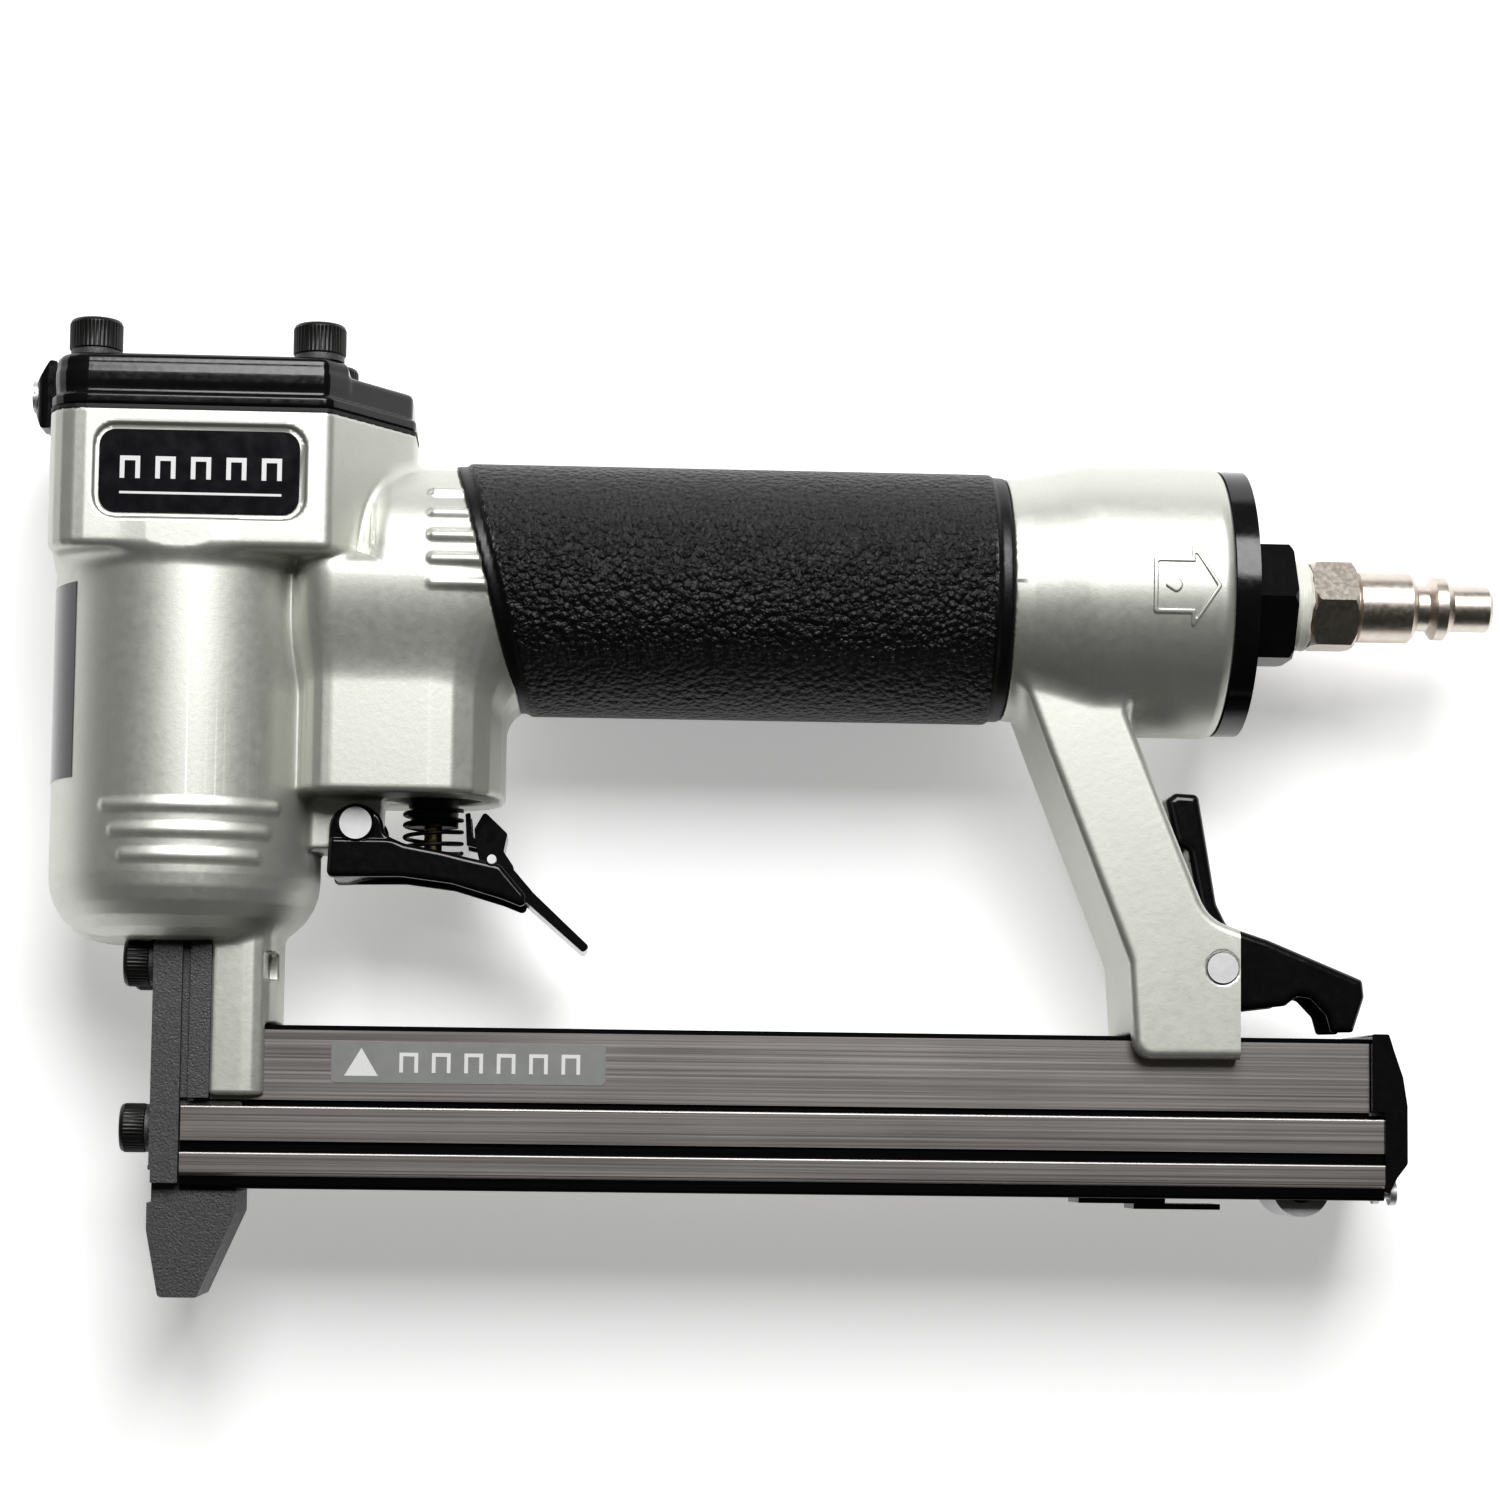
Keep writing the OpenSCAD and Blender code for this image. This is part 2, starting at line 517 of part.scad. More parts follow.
module thread_tape() color([0.93, 0.91, 0.84]) difference() {
  union() { xcyl(7.7, hex_x, tape_x - 0.5); xcyl(7.3, hex_x, tape_x); }
  xcyl(6.55, hex_x - 1, tape_x + 1);
}
module air_plug() color([0.80, 0.76, 0.70]) difference() {
  union() {
    xcyl(6.5, 171, tape_x + 0.5);
    translate([tape_x, 0, 0]) rotate([0, 90, 0]) intersection() {
      hexbar(plug_hex, plug_hex_x - tape_x);
      union() {
        cylinder(d1 = 14.4, d2 = 16.4, h = 1);
        translate([0, 0, 1]) cylinder(d = 16.4, h = plug_hex_x - tape_x - 2);
        translate([0, 0, plug_hex_x - tape_x - 1]) cylinder(d1 = 16.4, d2 = 14.4, h = 1);
      }
    }
    xturn([[plug_hex_x - 0.2, 0], [plug_hex_x - 0.2, 5.3], [plug_hex_x + 0.5, 5.3],
      [plug_hex_x + 0.9, plug_collar / 2], [202.2, plug_collar / 2], [203, 5.2], [203.6, plug_tip / 2],
      [205.4, plug_tip / 2], [206.5, 5.3], [208.3, 5.3], [209.6, plug_tip / 2],
      [plug_end - 0.6, plug_tip / 2], [plug_end, plug_tip / 2 - 0.6], [plug_end, 0]]);
  }
  xcyl(2.6, 170, plug_end + 1);
}

// ---------- nose ----------
module nose_plate() color(gun) difference() {
  union() {
    side([[-3.4, -56.9, 0.6], [chan_x, -56.9, 0], [chan_x, -98, 0], [-3.4, -98, 0]], -nose_hw, nose_hw);
    side([[-3.8, -95, 0.5], [chan_x, -95, 0], [chan_x, -nose_tip, 0], [-1.7, -nose_tip, 0.8],
      [-3.8, -105.4, 1]], -foot_hw, foot_hw);
  }
  side([[-6, -95.4, 0], [-3.1, -96, 0], [-3.1, -101, 0], [-6, -101.8, 0]], -20, 20);
  for (y = nose_bolt_y, z = [-1, 1]) xcyl(2.3, -6, 3, y, z * nose_bolt_z);
  for (z = [-1, 1]) xcyl(1.55, -2, 3, dowel_y, z * dowel_z);
}
module driver_guide() color(gun) difference() {
  union() {
    box(2.5, guide_x, -84.4, -56.9, -11.4, 11.4);
    box(chan_x, 2.6, -84.4, -56.9, -10.4, 10.4);
  }
  box(0, 2.5, -90, -50, -chan_hw - 0.05, chan_hw + 0.05);
  box(0, 8, -90, -mag_top - 1.6, -chan_hw - 0.05, chan_hw + 0.05);
  for (z = [-1, 1]) xcyl(2.3, 0, 8, nose_bolt_y[0], z * nose_bolt_z);
  for (z = [-1, 1]) xcyl(1.55, 0, 8, dowel_y, z * dowel_z);
}
module nose_block() color(gun) difference() {
  union() {
    for (s = [-1, 1]) box(chan_x, 11, -96.4, -84.9, s > 0 ? chan_hw + 0.1 : -cheek_hw,
      s > 0 ? cheek_hw : -chan_hw - 0.1);
    box(chan_x, 4.2, -100, -90, -cheek_hw, cheek_hw);
    side([[chan_x, -98.95, 0], [10.4, -98.95, 0.4], [10.4, -102.6, 0.8], [4.4, -nose_tip, 0.3],
      [chan_x, -nose_tip, 0]], -foot_hw, foot_hw);
  }
  box(0, 2.5, -130, -80, -chan_hw - 0.05, chan_hw + 0.05);
  box(0, 30, -98.9, -80, -chan_hw - 0.05, chan_hw + 0.05);
  for (z = [-1, 1]) xcyl(2.05, 0, 10.5, nose_bolt_y[1], z * nose_bolt_z);
}
module nose_bolts() color(black) for (y = nose_bolt_y, z = [-1, 1])
  translate([-4.3, y, z * nose_bolt_z]) rotate([0, -90, 0]) socket_screw(7.9, 4.1, 2, 14.2, 3.2);
module nose_washers() color(black) for (y = nose_bolt_y, z = [-1, 1]) difference() {
  xcyl(3.7, -4.3, -3.4, y, z * nose_bolt_z);
  xcyl(2.15, -5, -3, y, z * nose_bolt_z);
}
module nose_dowels() color(steel) for (z = [-1, 1]) xcyl(1.5, -1.9, 10.2, dowel_y, z * dowel_z);

// ---------- magazine ----------
module mag_rail() color(gun) union() {
  difference() {
    box(5.9, rail_end, -mag_low, -mag_top, -rail_hw, rail_hw);
    box(0, 250, -mag_low - 1, -mag_top - 1.9, -chan_hw - 0.15, chan_hw + 0.15);
    for (s = [-1, 1]) box(0, 250, -mag_low - 1, -mag_top - 1.9, s > 0 ? 6.2 : -8.3,
      s > 0 ? 8.3 : -6.2);
  }
  for (s = [-1, 1]) box(11.4, rail_end, -89.6, -mag_low + 0.2, s > 0 ? 8.3 : -cheek_hw,
    s > 0 ? cheek_hw : -8.3);
}
module mag_slide() color(gun) {
  profile = [[-band2[0], 11, 0.3], [-band2[1], 11, 0], [-band2[1], 10.4, 0], [-band3[0], 10.4, 0],
    [-band3[0], slide_hw, 0.3], [-band3[1], slide_hw, 0.3], [-band3[1] - 0.6, slide_hw - 0.8, 0],
    [-slide_low, slide_hw - 0.8, 0.5]];
  difference() {
    along(mirror_z(profile), 1.4, slide_end);
    box(0, 300, -band3[1] - 1, -50, -wall_in, wall_in);
    box(0, 4.4, -120, -50, -wall_in, wall_in);
    for (z = [-1, 1]) xcyl(1.05, slide_end - 6, slide_end + 1, -slide_low + 1.25, z * 6);
  }
}
module staple_rail() color(steel) difference() {
  box(2.6, 190, -band3[1] - 0.95, -79.4, -3.7, 3.7);
  box(4.6, 200, -95.4, -70, -2.6, 2.6);
  xcyl(1.05, 0, 8, rod_y);
}
module mag_end_cap() color(black) difference() {
  union() {
    side([[slide_end + 0.05, -72, 0.3], [196.3, -72, 0.4], [198.6, -78.8, 0.8], [mag_end, -83.4, 1],
      [mag_end, -92.8, 1], [197.6, -95, 0.8], [slide_end + 0.05, -slide_low, 0.4]], -slide_hw, slide_hw);
    side([[rail_end + 0.15, -71.8, 0.4], [196.3, -71.8, 0.4], [197, -74, 0], [197, -84.4, 0],
      [rail_end + 0.15, -84.4, 0.2]], -slide_hw, slide_hw);
  }
  xcyl(1.05, 190, 197.6, rod_y);
  for (z = [-1, 1]) {
    xcyl(1.15, 190, 200, -slide_low + 1.25, z * 6);
    xcyl(2.2, 197.4, 200, -slide_low + 1.25, z * 6);
  }
}
module end_cap_screws() color(steel) for (z = [-1, 1])
  translate([197.4, -slide_low + 1.25, z * 6]) rotate([0, 90, 0]) difference() {
    union() { cylinder(r = 2, h = 1); translate([0, 0, -7]) cylinder(r = 1, h = 7.1); }
    translate([-0.3, -3, 0.5]) cube([0.6, 6, 1]);
  }
module pusher() color(steel) difference() {
  box(2.7, 18.7, -92, -75.6, -4.75, 4.75);
  for (s = [-1, 1]) box(0, 30, -100, -79.2, s > 0 ? 2.45 : -3.85, s > 0 ? 3.85 : -2.45);
  box(0, 4.8, -100, -79.2, -3.85, 3.85);
  box(0, 30, -100, -89.6, -3.85, 3.85);
  xcyl(1.1, 0, 30, rod_y);
}
module pusher_spring() color(steel)
  translate([18.9, rod_y, 0]) rotate([0, 90, 0]) coil(1.75, 0.3, 175.8, 46, 8, 4);
module guide_rod() color(steel) xcyl(1, 2.8, 197.4, rod_y);
module slide_stop() color(black) {
  box(146.4, 160.6, -slide_low - 0.9, -slide_low, -6, 6);
  box(155.6, 169.8, -slide_low - 1.8, -slide_low - 0.9, -5, 5);
}
module stop_roller() color(steel) difference() {
  intersection() {
    translate([182.8, -slide_low + 1.9, 0]) zcyl(4.7, -7, 7);
    box(170, 195, -slide_low - 3, -slide_low, -8, 8);
  }
  translate([182.8, -slide_low + 1.9, 0]) zcyl(2.4, -9, 9);
}
module mag_label() color([0.5, 0.5, 0.5])
  side([[25.1, -75.1, 0.8], [69.1, -75.1, 0.8], [69.1, -81.7, 0.8], [25.1, -81.7, 0.8]],
    rail_hw, rail_hw + 0.1, 3);

// ---------- latch ----------
module latch() color(black) difference() {
  side([[160.6, -33.6, 0.6], [162.2, -32.4, 0.8], [166, -32.6, 1], [169, -50.6, 3], [170.8, -54.2, 2],
    [177.6, -56.4, 3], [193.2, -62.8, 0.8], [193.5, -65.6, 0.8], [191.6, -71.4, 0.5], [188, -71.5, 0.5],
    [187.2, -68.6, 1.2], [184.6, -65.9, 1], [182.4, -65.6, 0.8], [180.4, -67.2, 0.8], [174, -68, 3],
    [166, -67.4, 3.5], [163.4, -60, 3.5], [166.2, -52, 1.5], [164.4, -42, 0.4],
    [162.2, -40.8, 0.4]], -7, 7, 4);
  // channel under the web
  side([[150, -36.4, 0], [163.6, -36.4, 0], [166.9, -51.2, 2], [170, -56.6, 2], [176.8, -58.8, 2],
    [191.6, -65, 0.5], [196, -80, 0], [150, -80, 0]], -5.2, 5.2, 3);
  zcyl(2.6, -20, 20, latch_x, -latch_y);
}
module latch_pin() color(steel) zcyl(2.5, -leg_hw - 0.3, leg_hw + 0.3, latch_x, -latch_y);
module latch_spring() color(steel)
  translate([157.1, -42.6, 0]) rotate([0, 90, 14.6]) coil(2.6, 0.4, 7.2, 4, 12, 5);

// ---------- placing ----------
module placed() translate([-mid_x, -mid_y, half_w]) children();
placed() housing();
placed() grip();
placed() nameplate();
placed() side_label();
placed() cap();
placed() cap_gasket();
placed() cap_bolts();
placed() cap_washers();
placed() exhaust_deflector();
placed() deflector_screw();
placed() head_valve();
placed() head_valve_oring();
placed() head_valve_spring();
placed() cylinder_liner();
placed() piston();
placed() piston_oring();
placed() driver_blade();
placed() bumper();
placed() valve_sleeve();
placed() valve_stem();
placed() valve_oring();
placed() valve_spring();
placed() trigger();
placed() trigger_pin();
placed() safety_lever();
placed() safety_pin();
placed() end_cap();
placed() end_cap_oring();
placed() filter_screen();
placed() air_plug();
placed() thread_tape();
placed() nose_plate();
placed() driver_guide();
placed() nose_block();
placed() nose_bolts();
placed() nose_washers();
placed() nose_dowels();
placed() mag_rail();
placed() mag_slide();
placed() staple_rail();
placed() mag_end_cap();
placed() end_cap_screws();
placed() pusher();
placed() pusher_spring();
placed() guide_rod();
placed() slide_stop();
placed() stop_roller();
placed() mag_label();
placed() latch();
placed() latch_pin();
placed() latch_spring();
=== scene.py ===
import functools
import json
import math

import bmesh
import bpy
import numpy as np
from mathutils import Matrix, Vector


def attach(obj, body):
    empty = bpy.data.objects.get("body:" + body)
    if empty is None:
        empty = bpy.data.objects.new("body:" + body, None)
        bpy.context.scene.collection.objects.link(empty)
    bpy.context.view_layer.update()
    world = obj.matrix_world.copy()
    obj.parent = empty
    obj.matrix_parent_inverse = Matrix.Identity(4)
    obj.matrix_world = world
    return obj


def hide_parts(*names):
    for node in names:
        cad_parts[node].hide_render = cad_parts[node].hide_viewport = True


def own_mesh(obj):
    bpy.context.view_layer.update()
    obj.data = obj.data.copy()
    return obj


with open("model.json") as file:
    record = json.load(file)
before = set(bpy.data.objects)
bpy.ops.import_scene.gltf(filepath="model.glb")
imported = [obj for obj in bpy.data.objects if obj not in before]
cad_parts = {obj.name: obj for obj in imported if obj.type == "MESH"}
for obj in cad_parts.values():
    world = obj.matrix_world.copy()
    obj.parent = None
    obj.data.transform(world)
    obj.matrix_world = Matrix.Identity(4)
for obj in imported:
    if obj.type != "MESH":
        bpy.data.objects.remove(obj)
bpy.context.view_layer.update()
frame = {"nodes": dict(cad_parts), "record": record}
nodes = frame["nodes"]

# The tool frame of the CAD, in mm: cylinder axis x = 0, handle axis y = 0, middle plane z = 0.
ORIGIN = np.array([95.1, -38.1, -22.5])


def row(x, y, z=0.0):
    """A point of the tool frame (mm) in the row frame (m)."""
    return Vector((x - ORIGIN[0], y - ORIGIN[1], z - ORIGIN[2])) / 1000


# ---------- camera, light and floor ----------
def link(name, data):
    """A new object with this data, linked to the scene."""
    ob = bpy.data.objects.new(name, data)
    bpy.context.scene.collection.objects.link(ob)
    return ob


def make_camera():
    """Above the tool, tilted and turned a little, as the photographer's camera was."""
    data = bpy.data.cameras.new("camera")
    cam = link("camera", data)
    tilt, pan, roll = (math.radians(v) for v in (4.9, -2.89, 0.67))
    turn = Matrix.Rotation(pan, 4, "Y") @ Matrix.Rotation(tilt, 4, "X") @ Matrix.Rotation(roll, 4, "Z")
    cam.matrix_world = Matrix.Translation(row(63.5, -90, 573.7)) @ turn
    data.sensor_width = 36
    data.lens = 83.76
    data.shift_y = 0.06
    data.clip_start, data.clip_end = 0.01, 20
    bpy.context.scene.camera = cam


def make_softbox(place, size, power):
    """A square area light that looks at the origin."""
    data = bpy.data.lights.new("softbox", "AREA")
    data.shape = "RECTANGLE"
    data.size = data.size_y = size
    data.energy = power
    ob = link("softbox", data)
    ob.location = place
    ob.rotation_euler = (-Vector(place)).to_track_quat("-Z", "Y").to_euler()


def make_world(dark, middle, bright):
    """A grey surround that brightens from the nose side (-Y) to the head side (+Y)."""
    world = bpy.data.worlds.new("studio")
    world.use_nodes = True
    bpy.context.scene.world = world
    tree = world.node_tree
    where = tree.nodes.new("ShaderNodeTexCoord").outputs["Generated"]
    split = tree.nodes.new("ShaderNodeSeparateXYZ")
    tree.links.new(where, split.inputs[0])
    part = tree.nodes.new("ShaderNodeMapRange")
    part.inputs["From Min"].default_value = -1
    tree.links.new(split.outputs["Y"], part.inputs["Value"])
    ramp = tree.nodes.new("ShaderNodeValToRGB")
    tree.links.new(part.outputs[0], ramp.inputs[0])
    stops = ramp.color_ramp.elements
    stops[0].color, stops[1].color = (*dark, 1), (*bright, 1)
    stops.new(0.5).color = (*middle, 1)
    tree.links.new(ramp.outputs[0], tree.nodes["Background"].inputs["Color"])


def make_floor(half, grey, glow):
    mesh = bpy.data.meshes.new("floor")
    corners = [(-half, -half, 0), (half, -half, 0), (half, half, 0), (-half, half, 0)]
    mesh.from_pydata(corners, [], [(0, 1, 2, 3)])
    mat = bpy.data.materials.new("floor")
    mat.use_nodes = True
    inputs = mat.node_tree.nodes["Principled BSDF"].inputs
    inputs["Base Color"].default_value = (grey, grey, grey, 1)
    inputs["Roughness"].default_value = 0.9
    inputs["Emission Color"].default_value = (1, 1, 1, 1)
    inputs["Emission Strength"].default_value = glow
    mesh.materials.append(mat)
    link("floor", mesh)


make_camera()
make_world((0.02, 0.021, 0.018), (0.045, 0.046, 0.041), (0.14, 0.142, 0.135))
make_softbox((0.06, 0.60, 0.86), 0.62, 10.5)
make_floor(9, 0.93, 0.34)
bpy.context.scene.view_settings.view_transform = "Standard"
bpy.context.scene.view_settings.look = "Medium High Contrast"


# ---------- materials ----------
class Finish:
    """A Principled material and the few nodes that its detail is made of; sizes are in mm."""

    def __init__(self, slot, color, rough, metallic=0.0, **more):
        self.mat = bpy.data.materials.new(slot)
        self.mat.use_nodes = True
        self.tree = self.mat.node_tree
        self.bsdf = self.tree.nodes["Principled BSDF"]
        fixed = {"base_color": (*color, 1), "roughness": rough, "metallic": metallic, **more}
        for key, value in fixed.items():
            name = key.replace("_", " ").title().replace("Ior", "IOR")
            self.bsdf.inputs[name].default_value = value
        self.where = self.tree.nodes.new("ShaderNodeTexCoord").outputs["Object"]
        self.normal = None

    def node(self, kind, inputs=(), **fields):
        """A shader node; an input is a number or another node's output."""
        n = self.tree.nodes.new("ShaderNode" + kind)
        for k, v in fields.items():
            setattr(n, k, v)
        for k, v in dict(inputs).items():
            if isinstance(v, bpy.types.NodeSocket):
                self.tree.links.new(v, n.inputs[k])
            else:
                n.inputs[k].default_value = v
        return n

    def space(self, stretch=(1, 1, 1)):
        """Object coordinates in mm, times a factor along each axis."""
        scale = [1000 * v for v in stretch]
        return self.node("Mapping", {"Vector": self.where, "Scale": scale}).outputs[0]

    def noise(self, size, detail=2.0, stretch=(1, 1, 1), rough=0.5):
        inputs = {"Vector": self.space(stretch), "Scale": 1 / size, "Detail": detail, "Roughness": rough}
        return self.node("TexNoise", inputs).outputs["Fac"]

    def cells(self, size, where=None):
        inputs = {"Vector": where or self.space(), "Scale": 1 / size}
        return self.node("TexVoronoi", inputs, feature="F1").outputs["Distance"]

    def scale(self, value, low, high, to_low=0.0, to_high=1.0):
        inputs = {"Value": value, "From Min": low, "From Max": high, "To Min": to_low, "To Max": to_high}
        return self.node("MapRange", inputs).outputs[0]

    def math(self, op, a, b):
        return self.node("Math", {0: a, 1: b}, operation=op).outputs[0]

    def blend(self, a, part_a, b, part_b):
        """The sum of two values, each times its own part."""
        return self.math("ADD", self.math("MULTIPLY", a, part_a), self.math("MULTIPLY", b, part_b))

    def color(self, fac, dark, light):
        m = self.node("Mix", {0: fac, 6: (*dark, 1), 7: (*light, 1)}, data_type="RGBA")
        self.tree.links.new(m.outputs[2], self.bsdf.inputs["Base Color"])

    def rough(self, fac, low, high):
        self.tree.links.new(self.scale(fac, 0.25, 0.75, low, high), self.bsdf.inputs["Roughness"])

    def relief(self, height, depth):
        """Adds a bump of the given depth in mm, on top of earlier ones."""
        n = self.node("Bump", {"Height": height, "Distance": depth / 1000, "Strength": 1.0})
        if self.normal:
            self.tree.links.new(self.normal, n.inputs["Normal"])
        self.normal = n.outputs["Normal"]
        self.tree.links.new(self.normal, self.bsdf.inputs["Normal"])


def silver_paint():
    """Silver lacquer on cast metal: fine flakes, faint clouds and a slight orange peel."""
    m = Finish("silver_paint", (0.64, 0.65, 0.60), 0.46, 0.8, coat_weight=0.05, coat_roughness=0.35)
    flake = m.noise(0.22, 1)
    m.color(m.blend(flake, 0.7, m.noise(9, 3), 0.3), (0.58, 0.587, 0.54), (0.76, 0.768, 0.72))
    m.rough(m.noise(1.5, 3), 0.43, 0.50)
    m.relief(m.noise(0.9, 2), 0.012)
    m.relief(flake, 0.006)
    return m.mat


def grip_rubber():
    """Moulded rubber with a leather grain, only where the mesh attribute "pebble" is set."""
    m = Finish("grip_rubber", (0.006, 0.006, 0.007), 0.38, specular_ior_level=0.45)
    bend = m.node("TexNoise", {"Vector": m.space(), "Scale": 1.2, "Detail": 2.0}).outputs["Color"]
    bent = m.node("Mix", {0: 0.35, 4: m.space(), 5: bend}, data_type="VECTOR").outputs[1]
    small = m.noise(0.45, 3)
    mask = m.node("Attribute", attribute_name="pebble").outputs["Fac"]
    m.relief(m.math("MULTIPLY", m.blend(m.cells(0.72, bent), -1.0, small, 0.6), mask), 0.55)
    m.relief(m.noise(0.3, 2), 0.01)
    m.rough(small, 0.3, 0.45)
    m.color(m.noise(4, 2), (0.003, 0.003, 0.0035), (0.007, 0.007, 0.0075))
    return m.mat


def black_enamel():
    """Glossy black enamel with soft waves."""
    m = Finish("black_enamel", (0.006, 0.006, 0.007), 0.2, specular_ior_level=0.45)
    m.color(m.noise(3, 3), (0.004, 0.004, 0.005), (0.009, 0.009, 0.010))
    m.rough(m.noise(1.2, 3), 0.12, 0.22)
    m.relief(m.noise(2.2, 2), 0.02)
    return m.mat


def label_black():
    """Black film under a thin clear coat."""
    m = Finish("label_black", (0.006, 0.006, 0.008), 0.12, coat_weight=0.3, coat_roughness=0.06)
    m.color(m.noise(6, 2), (0.005, 0.005, 0.007), (0.010, 0.010, 0.012))
    m.rough(m.noise(2.5, 2), 0.10, 0.18)
    m.relief(m.noise(5, 2), 0.02)
    return m.mat


def black_oxide():
    """Sintered or cast steel, blackened, with a rough grain and shallow pits."""
    m = Finish("black_oxide", (0.05, 0.05, 0.055), 0.45, 0.55)
    grain = m.noise(0.35, 4, rough=0.65)
    m.color(grain, (0.03, 0.03, 0.032), (0.19, 0.185, 0.185))
    m.rough(m.noise(0.8, 2), 0.35, 0.6)
    m.relief(grain, 0.12)
    m.relief(m.scale(m.cells(0.8), 0.0, 0.35), 0.03)
    return m.mat


def screw_black():
    """Oiled black steel of screws and thin springs."""
    m = Finish("screw_black", (0.012, 0.012, 0.012), 0.38, 0.2)
    m.color(m.noise(0.8, 3), (0.006, 0.006, 0.006), (0.022, 0.021, 0.02))
    m.rough(m.noise(0.5, 3), 0.3, 0.45)
    m.relief(m.noise(0.3, 2), 0.01)
    return m.mat


# Painted shade along the magazine: black bands in its grooves and on its underside, where shade falls;
# the middle's Y in the row frame and the half width, in m.
PAINTED_GROOVE_SHADE = ((-0.0348, 0.00045), (-0.0470, 0.00052), (-0.0540, 0.0009), (-0.0598, 0.0011))


def gunmetal():
    """Brushed steel of the magazine: streaks along X, faint clouds, and painted shade: black bands in the
    grooves and under the magazine.
    """
    m = Finish("gunmetal", (0.27, 0.25, 0.245), 0.34, 0.92)
    streak = m.noise(1, 3, stretch=(0.012, 3, 3))
    tone = m.blend(streak, 0.55, m.noise(14, 3, stretch=(0.5, 1, 1)), 0.45)
    height = m.node("SeparateXYZ", {0: m.where}).outputs["Y"]
    # each band takes 4 off the tone, down to the ramp's black: painted shade in the grooves and under the
    # magazine
    for middle, half in PAINTED_GROOVE_SHADE:
        painted_shade = m.node("Math", {0: height, 1: middle, 2: half}, operation="COMPARE").outputs[0]
        tone = m.math("SUBTRACT", tone, m.math("MULTIPLY", painted_shade, 4.0))
    ramp = m.node("ValToRGB", {0: m.scale(tone, -1.0, 1.0)})
    stops = ramp.color_ramp.elements
    # the first stop is the black of the painted shade bands; the streaks and clouds stay between the
    # other two
    stops[0].position, stops[0].color = 0.45, (0.008, 0.008, 0.009, 1)
    stops[1].position, stops[1].color = 0.85, (0.50, 0.47, 0.46, 1)
    stops.new(0.6).color = (0.31, 0.285, 0.28, 1)
    m.tree.links.new(ramp.outputs["Color"], m.bsdf.inputs["Base Color"])
    m.rough(streak, 0.28, 0.42)
    m.relief(streak, 0.01)
    return m.mat


def bright_steel():
    """Plain ground steel of the pins and springs."""
    m = Finish("bright_steel", (0.72, 0.72, 0.73), 0.4, 1.0)
    m.color(m.noise(1.5, 3), (0.60, 0.60, 0.61), (0.78, 0.78, 0.79))
    m.rough(m.noise(0.5, 3), 0.46, 0.58)
    m.relief(m.noise(0.25, 2), 0.006)
    return m.mat


def nickel():
    """Warm nickel plating over turned rings about X."""
    m = Finish("nickel", (0.72, 0.65, 0.58), 0.25, 1.0)
    m.color(m.noise(2.5, 3), (0.62, 0.55, 0.48), (0.78, 0.72, 0.66))
    m.rough(m.noise(0.8, 2), 0.28, 0.4)
    m.relief(m.noise(1, 2, stretch=(4.5, 0.02, 0.02)), 0.008)
    return m.mat


def brass():
    """Turned brass, with rings about Y."""
    m = Finish("brass", (0.70, 0.50, 0.20), 0.22, 1.0)
    m.color(m.noise(1, 2), (0.60, 0.42, 0.16), (0.76, 0.57, 0.26))
    m.relief(m.noise(1, 2, stretch=(0.02, 5, 0.02)), 0.008)
    return m.mat


def soft_rubber():
    """Matt rubber of seals and the bumper."""
    m = Finish("soft_rubber", (0.012, 0.012, 0.012), 0.55)
    m.color(m.noise(1.2, 3), (0.008, 0.008, 0.008), (0.02, 0.02, 0.02))
    m.relief(m.noise(0.4, 2), 0.015)
    return m.mat


def machined_aluminium():
    """Turned aluminium, with rings about Y."""
    m = Finish("machined_aluminium", (0.74, 0.75, 0.76), 0.3, 1.0)
    m.color(m.noise(2, 2), (0.66, 0.67, 0.68), (0.78, 0.79, 0.80))
    m.relief(m.noise(1, 2, stretch=(0.02, 4, 0.02)), 0.01)
    return m.mat


def tape_white():
    """Thread tape: uneven wraps, a little yellowed."""
    m = Finish("tape_white", (0.86, 0.83, 0.74), 0.5, subsurface_weight=0.1)
    wraps = m.noise(1, 2, stretch=(1.6, 0.12, 0.12))
    m.color(wraps, (0.74, 0.70, 0.60), (0.92, 0.90, 0.83))
    m.relief(wraps, 0.22)
    m.relief(m.noise(0.5, 3), 0.04)
    return m.mat


def sleeve_plastic():
    """Dark moulded plastic of the valve sleeve."""
    m = Finish("sleeve_plastic", (0.02, 0.02, 0.02), 0.35)
    m.color(m.noise(1.5, 2), (0.012, 0.012, 0.012), (0.03, 0.03, 0.03))
    m.relief(m.noise(0.5, 2), 0.012)
    return m.mat


def label_grey():
    """Grey film under a satin clear coat."""
    m = Finish("label_grey", (0.30, 0.30, 0.29), 0.38, coat_weight=0.4, coat_roughness=0.2)
    m.color(m.noise(5, 3), (0.24, 0.245, 0.235), (0.34, 0.345, 0.335))
    m.rough(m.noise(1.5, 2), 0.3, 0.45)
    m.relief(m.noise(2.5, 2), 0.02)
    return m.mat


def label_print():
    """White ink of the labels."""
    m = Finish("label_print", (0.82, 0.82, 0.82), 0.4)
    m.color(m.noise(0.3, 2), (0.74, 0.74, 0.74), (0.88, 0.88, 0.88))
    return m.mat


FINISH = {make.__name__: make() for make in (
    silver_paint, grip_rubber, black_enamel, label_black, black_oxide, screw_black, gunmetal,
    bright_steel, nickel, brass, soft_rubber, machined_aluminium, tape_white, sleeve_plastic,
    label_grey, label_print)}


def dress(ob, finish):
    ob.data.materials.clear()
    ob.data.materials.append(FINISH[finish])
    return ob


for part in frame["record"]["subparts"]:
    dress(nodes[part["node"]], part["material_slot"])


# ---------- distance fields ----------
def both(a, b, r=0.0):
    """Intersection with a convex rounding of radius r."""
    if r <= 0:
        return np.maximum(a, b)
    return np.minimum(-r, np.maximum(a, b)) + np.hypot(np.maximum(a + r, 0), np.maximum(b + r, 0))


